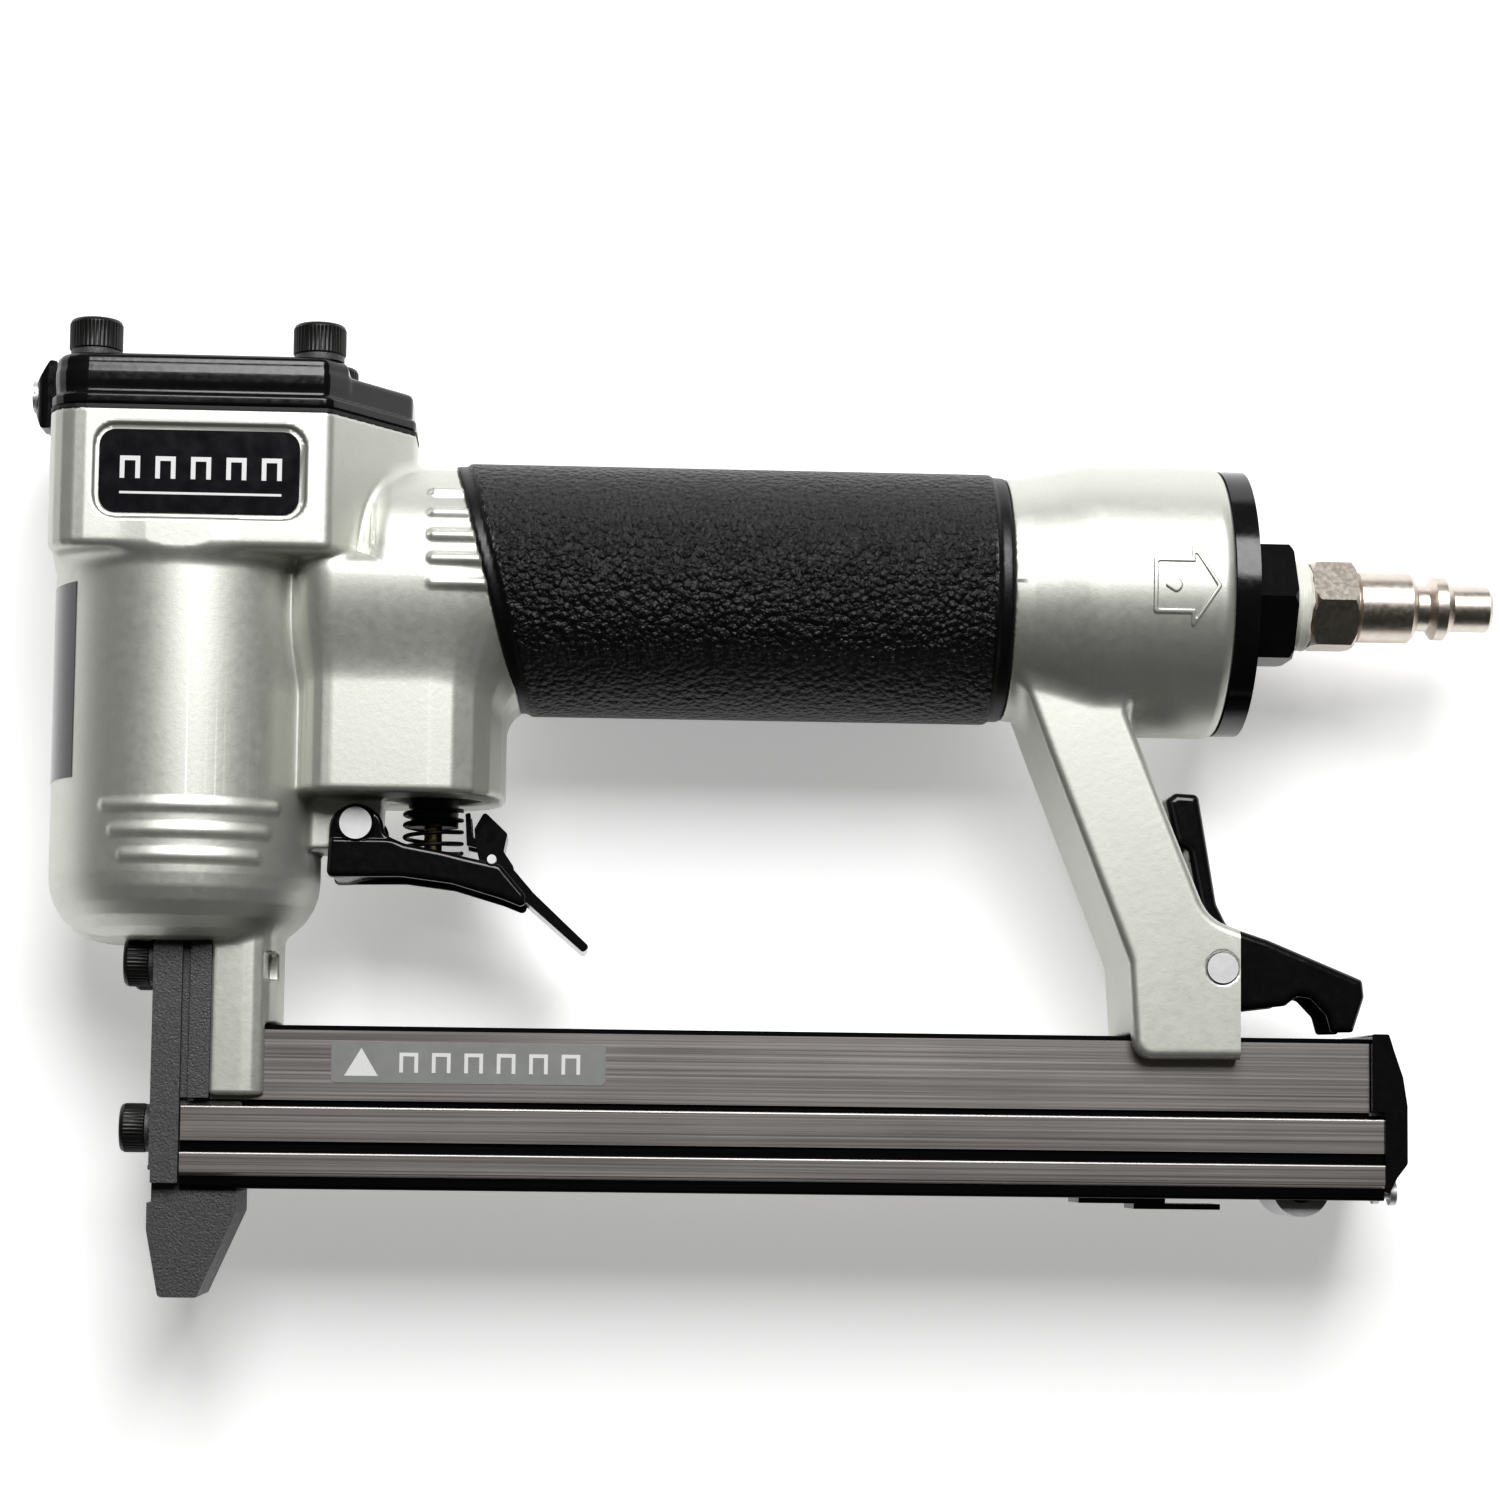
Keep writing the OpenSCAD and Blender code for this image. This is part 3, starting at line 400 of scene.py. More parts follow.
def either(a, b, r=0.0):
    """Union with a fillet of radius r."""
    if r <= 0:
        return np.minimum(a, b)
    return np.maximum(r, np.minimum(a, b)) - np.hypot(np.maximum(r - a, 0), np.maximum(r - b, 0))


def less(a, b, r=0.0):
    """What is left of a without b."""
    return both(a, -b, r)


def slab(v, low, high):
    return np.maximum(low - v, v - high)


def box(x, y, z, xs, ys, zs):
    """A box with sharp edges, from its range along each axis."""
    return np.maximum(np.maximum(slab(x, *xs), slab(y, *ys)), slab(z, *zs))


def rod(u, v, centre, r):
    """An endless round bar through a centre in the plane of u and v."""
    return np.hypot(u - centre[0], v - centre[1]) - r


def polygon(px, py, pts):
    """Signed distance to a closed outline, in the plane of px and py."""
    d = np.full(np.broadcast(px, py).shape, 1e9, np.float32)
    inside = np.zeros(d.shape, bool)
    for (ax, ay), (bx, by) in zip(pts, pts[1:] + pts[:1]):
        ex, ey = bx - ax, by - ay
        wx, wy = px - ax, py - ay
        t = np.clip((wx * ex + wy * ey) / (ex * ex + ey * ey), 0, 1)
        d = np.minimum(d, (wx - ex * t) ** 2 + (wy - ey * t) ** 2)
        crosses = (py >= ay) != (py >= by)
        if ey:
            inside ^= crosses & (px < ax + wy * ex / ey)
    return np.where(inside, -1, 1).astype(np.float32) * np.sqrt(d)


def rounded(pts, steps=5):
    """A closed outline with arcs: entries are (x, y, radius)."""
    out = []
    for i, (x, y, r) in enumerate(pts):
        p = np.array([x, y], float)
        if r <= 0:
            out.append((x, y))
            continue
        a = np.array(pts[i - 1][:2], float) - p
        b = np.array(pts[(i + 1) % len(pts)][:2], float) - p
        a, b = a / np.linalg.norm(a), b / np.linalg.norm(b)
        half = math.acos(np.clip(a @ b, -1, 1)) / 2
        c = p + (a + b) / np.linalg.norm(a + b) * r / math.sin(half)
        s, e = p + a * r / math.tan(half) - c, p + b * r / math.tan(half) - c
        t0 = math.atan2(s[1], s[0])
        sweep = (math.atan2(e[1], e[0]) - t0 + math.pi) % (2 * math.pi) - math.pi
        for k in range(steps + 1):
            t = t0 + sweep * k / steps
            out.append((c[0] + r * math.cos(t), c[1] + r * math.sin(t)))
    return out


def mirrored(pts):
    """Adds the other half of an outline that is symmetric about z = 0."""
    return pts + [(x, -z, r) for x, z, r in reversed(pts)]


def grid(low, high, step):
    """Cell coordinates along the three axes, each shaped to broadcast with the others."""
    axes = [np.arange(a, b + step, step, dtype=np.float32) for a, b in zip(low, high)]
    return axes[0][:, None, None], axes[1][None, :, None], axes[2][None, None, :]


def at(field, p):
    """Trilinear values of a field at points given in cells."""
    top = np.array(field.shape) - 2
    i = np.clip(np.floor(p).astype(int), 0, top)
    f = p - i
    v = 0
    for k in range(8):
        o = np.array([k & 1, k >> 1 & 1, k >> 2 & 1])
        w = np.prod(np.where(o, f, 1 - f), axis=1)
        j = i + o
        v = v + w * field[j[:, 0], j[:, 1], j[:, 2]]
    return v


def slope(field, p, h=0.5):
    """Unit vectors along which the field grows fastest."""
    g = np.stack([at(field, p + h * e) - at(field, p - h * e) for e in np.eye(3)], 1)
    return g / np.maximum(np.linalg.norm(g, axis=1, keepdims=True), 1e-9)


def net_points(field, inside):
    """One point in each cell that the surface crosses, and the number of the point in each cell."""
    corners = [inside[i:inside.shape[0] - 1 + i, j:inside.shape[1] - 1 + j, k:inside.shape[2] - 1 + k]
               for i in (0, 1) for j in (0, 1) for k in (0, 1)]
    some = np.logical_or.reduce(corners) & ~np.logical_and.reduce(corners)
    cells = np.argwhere(some)
    number = np.full(some.shape, -1, np.int32)
    number[some] = np.arange(len(cells))
    total, count = np.zeros((len(cells), 3)), np.zeros(len(cells))
    for axis in range(3):
        e = np.eye(3, dtype=int)[axis]
        for u in (0, 1):
            for v in (0, 1):
                a = cells + np.insert([u, v], axis, 0)
                fa, fb = field[tuple(a.T)], field[tuple((a + e).T)]
                hit = (fa < 0) != (fb < 0)
                t = np.where(hit, fa / np.where(hit, fa - fb, 1), 0)
                total += np.where(hit[:, None], a + t[:, None] * e, 0)
                count += hit
    return total / count[:, None], number


def net_quads(inside, number):
    """One quad round each grid edge that the surface crosses, facing out."""
    quads = []
    for axis in range(3):
        u, v = [k for k in range(3) if k != axis]
        here = [slice(1, n - 1) for n in inside.shape]
        here[axis] = slice(0, inside.shape[axis] - 1)
        after = list(here)
        after[axis] = slice(1, inside.shape[axis])
        a, b = inside[tuple(here)], inside[tuple(after)]
        edges = np.argwhere(a != b)
        leaves = a[tuple(edges.T)]
        edges = edges + [0 if k == axis else 1 for k in range(3)]
        ring = []
        for du, dv in ((1, 1), (0, 1), (0, 0), (1, 0)):
            c = edges.copy()
            c[:, u] -= du
            c[:, v] -= dv
            ring.append(number[tuple(c.T)])
        q = np.stack(ring, 1)
        keep = leaves if axis != 1 else ~leaves
        q[~keep] = q[~keep][:, ::-1]
        quads.append(q)
    return np.concatenate(quads)


def build_from(name, field, low, step, most=None):
    """A mesh object of the surface where field is zero, with the field's own normals.

    most is the largest number of triangles; a finer mesh is thinned to it."""
    inside = field < 0
    points, number = net_points(field, inside)
    quads = net_quads(inside, number)
    for _ in range(2):
        points -= slope(field, points) * at(field, points)[:, None] / step
    low = np.array(low, np.float32)
    mesh = bpy.data.meshes.new(name)
    mesh.from_pydata((points * step + low - ORIGIN) / 1000, [], quads.tolist())
    ob = link(name, mesh)
    if most and len(quads) * 2 > most:
        thin = ob.modifiers.new("thin", "DECIMATE")
        thin.ratio = most / (len(quads) * 2)
        graph = bpy.context.evaluated_depsgraph_get()
        ob.data = mesh = bpy.data.meshes.new_from_object(ob.evaluated_get(graph))
        ob.modifiers.clear()
    mesh.shade_smooth()
    mesh.normals_split_custom_set_from_vertices(slope(field, (tool_points(mesh) - low) / step))
    return ob


def tool_points(mesh):
    """A mesh's vertices in the tool frame, in mm."""
    co = np.zeros(len(mesh.vertices) * 3, np.float32)
    mesh.vertices.foreach_get("co", co)
    return co.reshape(-1, 3) * 1000 + ORIGIN


# ---------- sizes that several pieces share, in mm of the tool frame ----------
CYL_R, HALF_W, NECK_R, CORE_R = 22.0, 22.5, 19.7, 18.9
HEAD = [(-21.5, 22.5, 6.5), (23.5, 22.5, 2.5), (36.5, 5.2, 3)]  # half of the head seen from the cap
HEAD_LOW, HEAD_HIGH = 2.2, 24.7
NECK_START, BOSS_START, BOSS_HW, BOSS_LOW = 28.5, 19.4, 17.2, -35.4
GRIP_AT, GRIP_SLOPE = 48.2, 0.257  # the slanted front edge of the grip: x at y = 0, and its slope
CAP_BOLTS = [(x, z) for x in (-14.6, 21.2) for z in (-16, 16)]
NOSE_BOLT_Y, NOSE_BOLT_Z = (-62.7, -89.3), 7.25
TRIGGER_PIN, SAFETY_PIN, LATCH_PIN = (28.2, -39.9), (50.2, -45.4), (168.6, -61.5)
VALVE_X, ROD_Y = 40.3, -86


def past_edge(x, y):
    """How far a point lies behind the slanted front edge of the grip."""
    return (x - (GRIP_AT - GRIP_SLOPE * y)) / math.hypot(1, GRIP_SLOPE)


# ---------- housing ----------
CYL_PROFILE = [(-5, 8), (22, 8), (22, -49), (21.75, -51.2), (21, -53.4), (19.6, -55.6), (17.6, -57.5),
               (15.4, -58.8), (13, -59.35), (11, -59.5), (-5, -59.5)]
REAR_PROFILE = [(128, -5), (128, 18.9), (133.9, 18.9), (133.9, 20.1), (137, 20.35), (141.5, 21.2),
                (145.5, 22.1), (147, 22.35), (148.5, 22.5), (167.9, 22.5), (169, 22.15), (169.5, 21.6),
                (169.5, -5)]
REAR_FROM = 120  # the rear housing and the leg lie beyond this x
LEG = [(134.6, -12, 0), (152.5, -12, 0), (153.2, -20.5, 4), (166.4, -53.4, 7), (177.4, -57.3, 4.5),
       (177.4, -76.2, 3), (154.4, -76.4, 3), (153.4, -60.6, 6), (139.9, -26.2, 5)]
TRIGGER_LUG = [(14, -34, 0), (32, -34, 0), (32, -40.5, 3.6), (24.4, -44, 3), (14, -44, 0)]
NOSE_PLAN = [(5.8, 12, 0.6), (16, 12, 5)]
LATCH_SLOT = [(152.6, -26, 0), (200, -26, 0), (200, -74, 0), (162, -74, 0), (160.4, -56, 3)]
PLATE_POCKET = [(-13.6, 7.2, 3.4), (19.8, 7.2, 3.4), (19.8, 22.2, 3.4), (-13.6, 22.2, 3.4)]


def front_body(x, y, z):
    """Head, cylinder, neck, valve boss, grip core, trigger lug and nose extension."""
    cyl = polygon(np.hypot(x, z), y, CYL_PROFILE)
    plan = polygon(x, z, rounded(mirrored(HEAD)))
    head = np.maximum(both(plan, HEAD_LOW - y, 1.6), y - HEAD_HIGH)
    f = either(cyl, head, 2.6)
    tube = np.hypot(y, z) - NECK_R
    neck = both(tube, NECK_START - x, 5)
    lower = both(both(tube, BOSS_START - x, 5), np.maximum(y - HEAD_LOW, x - 36), 2)
    neck = np.maximum(np.minimum(neck, lower), past_edge(x, y) - 0.1)
    boss = polygon(x, z, rounded(mirrored([(BOSS_START, BOSS_HW, 5), (52, BOSS_HW, 12)])))
    boss = both(boss, slab(y, BOSS_LOW, 0), 1.0)
    f = either(f, either(neck, boss, 5), 1.8)
    f = either(f, np.maximum(np.hypot(y, z) - CORE_R, slab(x, 30, 134)))
    f = either(f, both(polygon(x, y, rounded(TRIGGER_LUG)), slab(z, -8, 8), 0.5), 1)
    return either(f, both(polygon(x, z, rounded(mirrored(NOSE_PLAN))), slab(y, -84, -50), 0.7), 1.2)


def rear_body(x, y, z):
    """The round rear housing and the leg down to the magazine."""
    rear = polygon(x, np.hypot(y, z), REAR_PROFILE)
    leg = both(polygon(x, y, rounded(LEG)), slab(z, -14, 14), 1.4)
    return either(rear, leg, 1.6)


def ribs(x, y, z):
    """Each raised rib and its fillet: three round the cylinder and five along the neck, on both sides."""
    for side in (1, -1):
        for i in range(3):
            yc = -38.4 - 4 * i
            first, last = math.radians(-30 + 4.6 * i), math.radians(45.5 - 4.7 * i)
            angle = np.clip(np.arctan2(x, side * z), first, last)
            r = CYL_R - 0.5
            across = (x - r * np.sin(angle)) ** 2 + (z - side * r * np.cos(angle)) ** 2
            yield np.sqrt(across + (y - yc) ** 2) - 0.75, 0.8
        for i in range(5):
            yc = 13.6 - 3.875 * i
            zc = side * (math.sqrt(NECK_R ** 2 - yc ** 2) - 0.1)
            d = np.sqrt((x - np.clip(x, 40.2, 60)) ** 2 + (y - yc) ** 2 + (z - zc) ** 2) - 0.9
            yield np.maximum(d, past_edge(x, y) - 0.1), 0.6


def openings(x, y, z):
    """Each hole and slot of the casting, from the cylinder's bore to the pin holes."""
    bore, passage, valve = np.hypot(x, z), np.hypot(y, z), np.hypot(x - VALVE_X, z)
    yield np.maximum(bore - 18.5, slab(y, -46, 30))
    yield np.maximum(bore - 15, slab(y, -54.5, -45))
    yield box(x, y, z, (0.9, 2.8), (-60, -50), (-5.2, 5.2))  # way of the driver blade
    yield box(x, y, z, (-3.5, 5.85), (-62, -56.8), (-12.1, 12.1))  # seat of the nose block
    for side in (-1, 1):
        bolt = np.hypot(y - NOSE_BOLT_Y[0], z - side * NOSE_BOLT_Z)
        yield np.maximum(bolt - 4.3, slab(x, -16, -3))
        yield np.maximum(bolt - 2.05, slab(x, 0, 11))
    yield np.maximum(passage - 7, slab(x, 10, 33))
    yield np.maximum(passage - 15, slab(x, 31, 175))
    yield np.maximum(passage - 18, slab(x, 160, 175))
    yield np.maximum(valve - 6.35, slab(y, -37, -10))
    yield np.maximum(valve - 8, slab(y, -37, -32.4))
    for centre in CAP_BOLTS:
        yield np.maximum(rod(x, z, centre, 2.5), slab(y, 8, 30))
    # the blind moulding slot in the nose extension, and the bed of the magazine rail
    yield np.maximum(np.maximum(slab(x, 14.2, 17.2), slab(y, -65.2, -61)), 3 - z)
    rail = np.maximum(slab(z, -10.15, 10.15), slab(y, -95, -72.45))
    yield np.maximum(rail, np.minimum(slab(x, 4.8, 18), slab(x, 148, 180)))
    yield np.maximum(polygon(x, y, rounded(LATCH_SLOT)), slab(z, -7.6, 7.6))
    yield rod(x, y, LATCH_PIN, 2.55)
    yield np.maximum(rod(x, y, TRIGGER_PIN, 2.05), slab(z, -12, 12))


def housing_field(step):
    low, high = (-24, -86, -24), (171.5, 26.5, 24)
    x, y, z = grid(low, high, step)
    f = front_body(x, y, z)
    first = int((REAR_FROM - low[0]) / step)
    f[first:] = either(f[first:], rear_body(x[first:], y, z))
    for rib, fillet in ribs(x, y, z):
        f = either(f, rib, fillet)
    cut = functools.reduce(np.minimum, openings(x, y, z))
    f = less(np.maximum(f, slab(z, -HALF_W, HALF_W + 0.3)), cut, 0.25)
    pocket = polygon(x, y, rounded(PLATE_POCKET))
    return less(f, np.maximum(pocket, 21.9 - z), 0.4), low, step


# ---------- other pieces cast or moulded with round edges ----------
def inset(pts, d):
    """The head's outline, smaller by d on every side."""
    return [(x - d if x > 0 else x + d, z - d if z > 0 else z + d, max(r - d, 0.6)) for x, z, r in pts]


def cap_field(step):
    low, high = (-23, 24.5, -24), (38, 35, 24)
    x, y, z = grid(low, high, step)
    f = both(polygon(x, z, rounded(mirrored(inset(HEAD, 0.1)))), slab(y, 25.3, 27.3), 0.5)
    f = np.minimum(f, both(polygon(x, z, rounded(mirrored(inset(HEAD, 0.7)))), slab(y, 26.5, 31.7), 1.0))
    top = np.maximum(polygon(x, z, rounded(mirrored(inset(HEAD, 0.8)))), x - 26)
    f = either(f, both(top, slab(y, 28, 34), 1.5), 0.6)
    f = less(f, np.maximum(np.hypot(x, z) - 17, y - 31.2))
    for centre in CAP_BOLTS:
        f = less(f, rod(x, z, centre, 2.7))
    return f, low, step


def grip_field(step):
    low, high = (40, -22.2, -22.2), (135.4, 22.2, 22.2)
    x, y, z = grid(low, high, step)
    r, behind = np.hypot(y, z), past_edge(x, y)
    body = both(both(r - 20.8, 2.2 - behind, 0.45), x - 131.5, 0.4)
    ends = both(both(r - 20.3, -behind, 0.5), x - 133.8, 0.5)
    return less(np.minimum(body, ends), r - 18.95), low, step


def pebbled(grip):
    """Marks the grained surface of the grip, between its two smooth end bands."""
    x, y, z = tool_points(grip.data).T
    mask = (past_edge(x, y) > 2.8) & (x < 130.9) & (np.hypot(y, z) > 20.5)
    pebble = grip.data.attributes.new("pebble", "FLOAT", "POINT")
    pebble.data.foreach_set("value", mask.astype(np.float32))


ARROW_OUTER = [(155.8, 4.2, 0.6), (162, 4.2, 0.2), (162, 7, 0.4), (167, -0.4, 0.6), (162, -7.8, 0.4),
               (162, -5, 0.2), (155.8, -5, 0.6)]
ARROW_INNER = [(156.6, 3.4, 0.3), (162.7, 3.4, 0.1), (162.7, 5.0, 0.1), (166.1, -0.4, 0.3),
               (162.7, -5.8, 0.1), (162.7, -4.2, 0.1), (156.6, -4.2, 0.3)]
ARROW_DROP = [(157.4, -0.4, 0.4), (159.6, 1, 0.8), (160.9, -0.4, 1), (159.6, -1.8, 0.8)]


def arrow_field(step):
    """A thin raised outline of an arrow with a drop in it, on the round rear housing."""
    low, high = (154.6, -8.8, 19), (168.2, 8.2, 23.4)
    x, y, z = grid(low, high, step)
    outer, inner, drop = (polygon(x, y, rounded(p)) for p in (ARROW_OUTER, ARROW_INNER, ARROW_DROP))
    mark = np.minimum(np.maximum(outer, -inner), drop)
    r = np.hypot(y, z)
    return both(np.maximum(mark, 22.1 - r), r - 22.83, 0.25), low, step


TRIGGER_SIDE = [(24, -38.6, 3.5), (28.2, -35.9, 3.8), (32.4, -38.6, 3.4), (32.8, -41.6, 1.5),
                (36, -43, 2), (42.1, -44.1, 4), (46.3, -45.1, 2), (51.6, -46.2, 2), (55.9, -51.2, 1.5),
                (55.6, -53.2, 0.8), (52, -51.8, 3), (43.8, -49.4, 4), (35.7, -48.4, 3),
                (23.6, -48.6, 1)]
TRIGGER_WEB = [(24.2, -46.6, 0.5), (33, -44.5, 1), (44.4, -44.4, 0.4), (44.4, -46.4, 0.4),
               (34, -46.6, 1), (26, -48.4, 0.4), (24.2, -48.4, 0.4)]


def trigger_field(step):
    """A pressed channel: two cheeks joined by a web, stepped in round the pin."""
    low, high = (22.6, -54.6, -10.8), (57, -34.8, 10.8)
    x, y, z = grid(low, high, step)
    f = both(polygon(x, y, rounded(TRIGGER_SIDE)), np.abs(z) - 10, 0.9)
    f = less(f, np.abs(z) - 8.3, 0.3)
    stepped = np.maximum(np.maximum(-42.4 - y, -rod(x, y, TRIGGER_PIN, 3.0)), 9.6 - np.abs(z))
    f = less(f, stepped, 0.5)
    f = either(f, np.maximum(polygon(x, y, rounded(TRIGGER_WEB)), np.abs(z) - 8.5), 0.6)
    f = less(f, rod(x, y, TRIGGER_PIN, 2.1), 0.2)
    return less(f, rod(x, y, SAFETY_PIN, 0.85), 0.15), low, step


LATCH_SIDE = [(160.6, -33.6, 0.6), (162.2, -32.4, 0.8), (166, -32.6, 1), (169, -50.6, 3),
              (170.8, -54.2, 2), (177.6, -56.4, 3), (193.2, -62.8, 0.8), (193.5, -65.6, 0.8),
              (191.6, -71.4, 0.5), (188, -71.5, 0.5), (187.2, -68.6, 1.2), (184.6, -65.9, 1),
              (182.4, -65.6, 0.8), (180.4, -67.2, 0.8), (174, -68, 3), (166, -67.4, 3.5),
              (163.4, -60, 3.5), (166.2, -52, 1.5), (164.4, -42, 0.4), (162.2, -40.8, 0.4)]
LATCH_HOLLOW = [(150, -36.4, 0), (163.6, -36.4, 0), (166.9, -51.2, 2), (170, -56.6, 2),
                (176.8, -58.8, 2), (191.6, -65, 0.5), (196, -80, 0), (150, -80, 0)]


def latch_field(step):
    """A pressed lever, hollow on the side of the magazine."""
    low, high = (159.6, -72.6, -7.8), (194.6, -31.4, 7.8)
    x, y, z = grid(low, high, step)
    f = both(polygon(x, y, rounded(LATCH_SIDE)), np.abs(z) - 7, 1.3)
    f = less(f, np.maximum(polygon(x, y, rounded(LATCH_HOLLOW)), np.abs(z) - 5.2), 0.4)
    return less(f, rod(x, y, LATCH_PIN, 2.6), 0.2), low, step


def pick(step):
    return step


def cast(name, node, field, low, step, slot, most=None, body="body"):
    ob = build_from(name, field, low, step, most)
    if node:
        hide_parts(node)
    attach(ob, body)
    dress(ob, slot)
    return ob


# ---------- screws, springs, tape and prints ----------
def add(name, points, faces, smooth=True):
    """A mesh object from points of the tool frame, in mm."""
    mesh = bpy.data.meshes.new(name)
    mesh.from_pydata((np.array(points, float) - ORIGIN) / 1000, [], faces)
    work = bmesh.new()
    work.from_mesh(mesh)
    bmesh.ops.recalc_face_normals(work, faces=work.faces)
    work.to_mesh(mesh)
    work.free()
    if smooth:
        mesh.shade_smooth()
        mesh.set_sharp_from_angle(angle=math.radians(38))
    return link(name, mesh)


def frame_of(axis):
    """The axis and two directions across it."""
    axis = np.array(axis, float)
    side = np.array([0, 0, 1.0]) if abs(axis[2]) < 0.9 else np.array([0, 1.0, 0])
    u = np.cross(axis, side)
    return axis, u / np.linalg.norm(u), np.cross(axis, u / np.linalg.norm(u))


def tube_faces(base, rings, n):
    """Quads between neighbouring rings of n points each, the first ring starting at point base."""
    faces = []
    for i in range(rings - 1):
        a, b = base + i * n, base + (i + 1) * n
        faces += [(a + k, a + (k + 1) % n, b + (k + 1) % n, b + k) for k in range(n)]
    return faces


def turned(places, axis, profile, n, shape):
    """Points and faces of a turned solid at each place; shape(i, angle) shifts ring i's points."""
    points, faces = [], []
    a, u, v = frame_of(axis)
    for place in places:
        base = len(points)
        for i, (h, r) in enumerate(profile):
            for k in range(n):
                t = 2 * math.pi * k / n
                dh, dr = shape(i, t)
                out = u * math.cos(t) + v * math.sin(t)
                points.append(np.array(place) + a * (h + dh) + max(r + dr, 0.01) * out)
        last = base + (len(profile) - 1) * n
        faces += tube_faces(base, len(profile), n)
        faces += [[base + k for k in range(n)], [last + k for k in range(n)]]
    return points, faces


def socket_heads(name, node, places, axis, d, h, shank, length, flats, knurls):
    """Socket-head screws: head d by h, shank radius and length, socket across flats, knurled rim."""
    r = d / 2
    rim, socket = (5, 6), 10  # the profile's knurled rings, and the first ring of the socket
    profile = [(-length, shank - 0.3), (-length + 0.3, shank), (-0.02, shank), (0, r - 0.25),
               (0.2, r - 0.05), (0.3, r), (h - 0.75, r), (h - 0.65, r - 0.05), (h - 0.2, r - 0.22),
               (h, r - 0.5), (h, flats / 2 + 0.25), (h - 0.2, flats / 2), (h * 0.45, flats / 2)]

    def shape(i, t):
        if i in rim:
            return 0, -0.16 * (0.5 + 0.5 * math.cos(knurls * t))
        if i >= socket:
            turn = (t + math.pi / 6) % (math.pi / 3) - math.pi / 6
            return 0, flats / 2 * (1 / math.cos(turn) - 1)
        return 0, 0

    ob = add(name, *turned(places, axis, profile, knurls * 4, shape))
    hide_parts(node)
    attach(ob, "body")
    dress(ob, "screw_black")


def spring(name, node, body, start, axis, radius, wire, length, turns, finish="bright_steel"):
    """A coil spring with closer end turns."""
    a, u, v = frame_of(axis)
    steps, sides = int(turns * 24), 10
    points = []
    for i in range(steps + 1):
        t = 2 * math.pi * turns * i / steps
        part = i / steps
        lift = wire + (length - 2 * wire) * (part - 0.08 * math.sin(2 * math.pi * part) / math.pi)
        out = u * math.cos(t) + v * math.sin(t)
        middle = np.array(start) + a * lift + radius * out
        for k in range(sides):
            w = 2 * math.pi * k / sides
            points.append(middle + wire * (out * math.cos(w) + a * math.sin(w)))
    ends = [list(range(sides)), [steps * sides + k for k in range(sides)]]
    ob = add(name, points, tube_faces(0, steps + 1, sides) + ends)
    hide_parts(node)
    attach(ob, body)
    dress(ob, finish)
    return ob


def ragged(i, t):
    """Ragged edges of the tape, mostly on the outer side, and the small steps of its wraps."""
    edge = 0.22 * math.sin(3 * t + 1) + 0.13 * math.sin(7 * t) + 0.07 * math.sin(17 * t + 2)
    return (edge if i > 6 else edge * 0.3), 0.06 * math.sin(2 * t + i) + 0.04 * math.sin(9 * t + 2 * i)


def staple_shape(x, y, w, h, t):
    """The outline of a staple: a crown and two legs."""
    return [(x, y), (x, y + h), (x + w, y + h), (x + w, y), (x + w - t, y), (x + w - t, y + h - t),
            (x + t, y + h - t), (x + t, y)]


def prints(name, outlines, z0, z1):
    """Thin flat white shapes on a face that looks along +Z."""
    points, faces = [], []
    for outline in outlines:
        b, n = len(points), len(outline)
        points += [(x, y, z) for z in (z0, z1) for x, y in outline]
        faces += [[b + k for k in range(n)], [b + n + k for k in range(n)]]
        faces += tube_faces(b, 2, n)
    ob = add(name, points, faces, smooth=False)
    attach(ob, "body")
    dress(ob, "label_print")


# ---------- the assembly ----------
cast("housing_cast", "housing", *housing_field(pick(0.45)), "silver_paint", 110000)
cast("arrow_mark", None, *arrow_field(pick(0.14)), "silver_paint", 20000)
cast("cap_cast", "cap", *cap_field(pick(0.4)), "black_enamel", 60000)
pebbled(cast("grip_moulded", "grip", *grip_field(pick(0.55)), "grip_rubber"))
cast("trigger_pressed", "trigger", *trigger_field(pick(0.22)), "black_enamel", 60000, "trigger")
cast("latch_pressed", "latch", *latch_field(pick(0.28)), "black_enamel", 50000, "latch")

cap_places = [(x, 35, z) for x, z in CAP_BOLTS]
nose_places = [(-4.3, y, z) for y in NOSE_BOLT_Y for z in (-NOSE_BOLT_Z, NOSE_BOLT_Z)]
socket_heads("cap_screws", "cap_bolts", cap_places, (0, 1, 0),
             d=8.5, h=5, shank=2.45, length=25.5, flats=4, knurls=40)
socket_heads("nose_screws", "nose_bolts", nose_places, (-1, 0, 0),
             d=7.9, h=4.1, shank=2, length=14.2, flats=3.2, knurls=40)

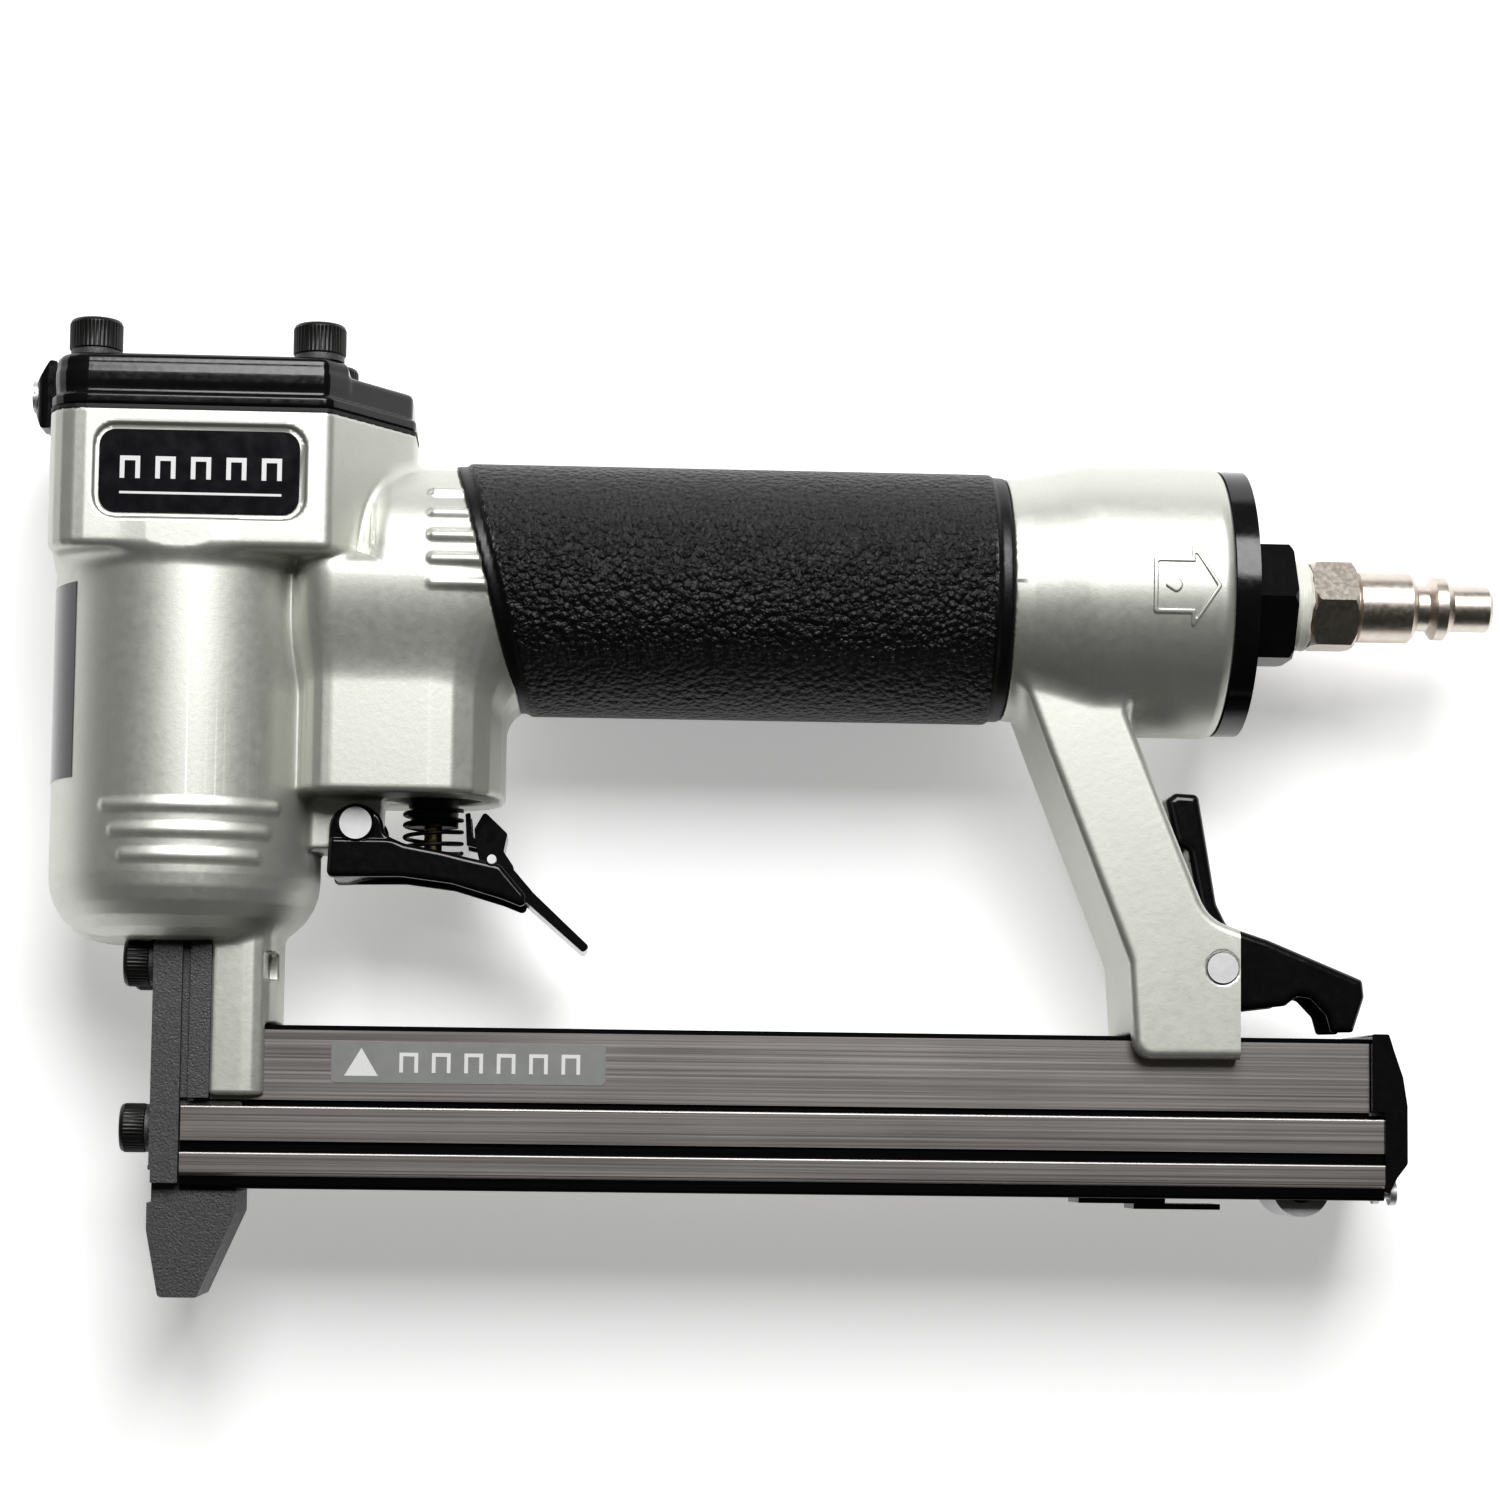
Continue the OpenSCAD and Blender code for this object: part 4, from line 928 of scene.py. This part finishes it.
TAPE_PROFILE = [(182.02, 6.56), (182.02, 7.45), (182.5, 7.62), (183.2, 7.66), (183.3, 7.5),
                (184.0, 7.55), (184.6, 7.5), (184.7, 7.32), (185.1, 7.15), (185.1, 6.56)]
tape = add("sealing_tape", *turned([(0, 0, 0)], (1, 0, 0), TAPE_PROFILE, 96, ragged))
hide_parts("thread_tape")
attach(tape, "body")
dress(tape, "tape_white")

valve_spring = spring("trigger_valve_spring", "valve_spring", "body", (VALVE_X, -44.1, 0), (0, 1, 0),
                      radius=4.7, wire=0.35, length=7.7, turns=4, finish="screw_black")
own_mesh(valve_spring)
head_spring = spring("head_spring", "head_valve_spring", "body", (0, HEAD_HIGH, 0), (0, 1, 0),
                     radius=7.4, wire=0.6, length=6.5, turns=4)
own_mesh(head_spring)
feed_spring = spring("feed_spring", "pusher_spring", "magazine", (18.9, ROD_Y, 0), (1, 0, 0),
                     radius=1.75, wire=0.3, length=175.8, turns=46)
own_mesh(feed_spring)
tilt = math.radians(14.6)
catch_spring = spring("catch_spring", "latch_spring", "body", (157.1, -42.6, 0),
                      (math.cos(tilt), math.sin(tilt), 0), radius=2.6, wire=0.4, length=7.2, turns=4)
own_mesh(catch_spring)

rule = [(-9.5, 10.9), (16.1, 10.9), (16.1, 11.3), (-9.5, 11.3)]
triangle = [(27.2, -80.6), (32.6, -80.6), (29.9, -76.1)]
prints("nameplate_print",
       [staple_shape(-9.5 + 5.6 * k, 13.4, 3.2, 3.6, 0.75) for k in range(5)] + [rule], 22.38, 22.44)
prints("magazine_print",
       [triangle] + [staple_shape(36 + 5.2 * k, -80, 3, 3.2, 0.6) for k in range(6)], 10.08, 10.14)

# small edge roundings, in mm, on the nodes that keep their CAD shape
BEVELS = {"safety_lever": 0.2, "nose_plate": 0.3, "driver_guide": 0.35, "nose_block": 0.3,
          "mag_rail": 0.25, "mag_slide": 0.25, "mag_end_cap": 0.35, "exhaust_deflector": 0.4,
          "end_cap": 0.3, "air_plug": 0.15, "slide_stop": 0.25, "latch_pin": 0.3, "trigger_pin": 0.2,
          "cap_washers": 0.15, "nose_washers": 0.15}
for node, width in BEVELS.items():
    bevel = nodes[node].modifiers.new("edges", "BEVEL")
    bevel.width, bevel.segments = width / 1000, 2
    bevel.limit_method, bevel.angle_limit = "ANGLE", math.radians(40)
    bevel.harden_normals = True
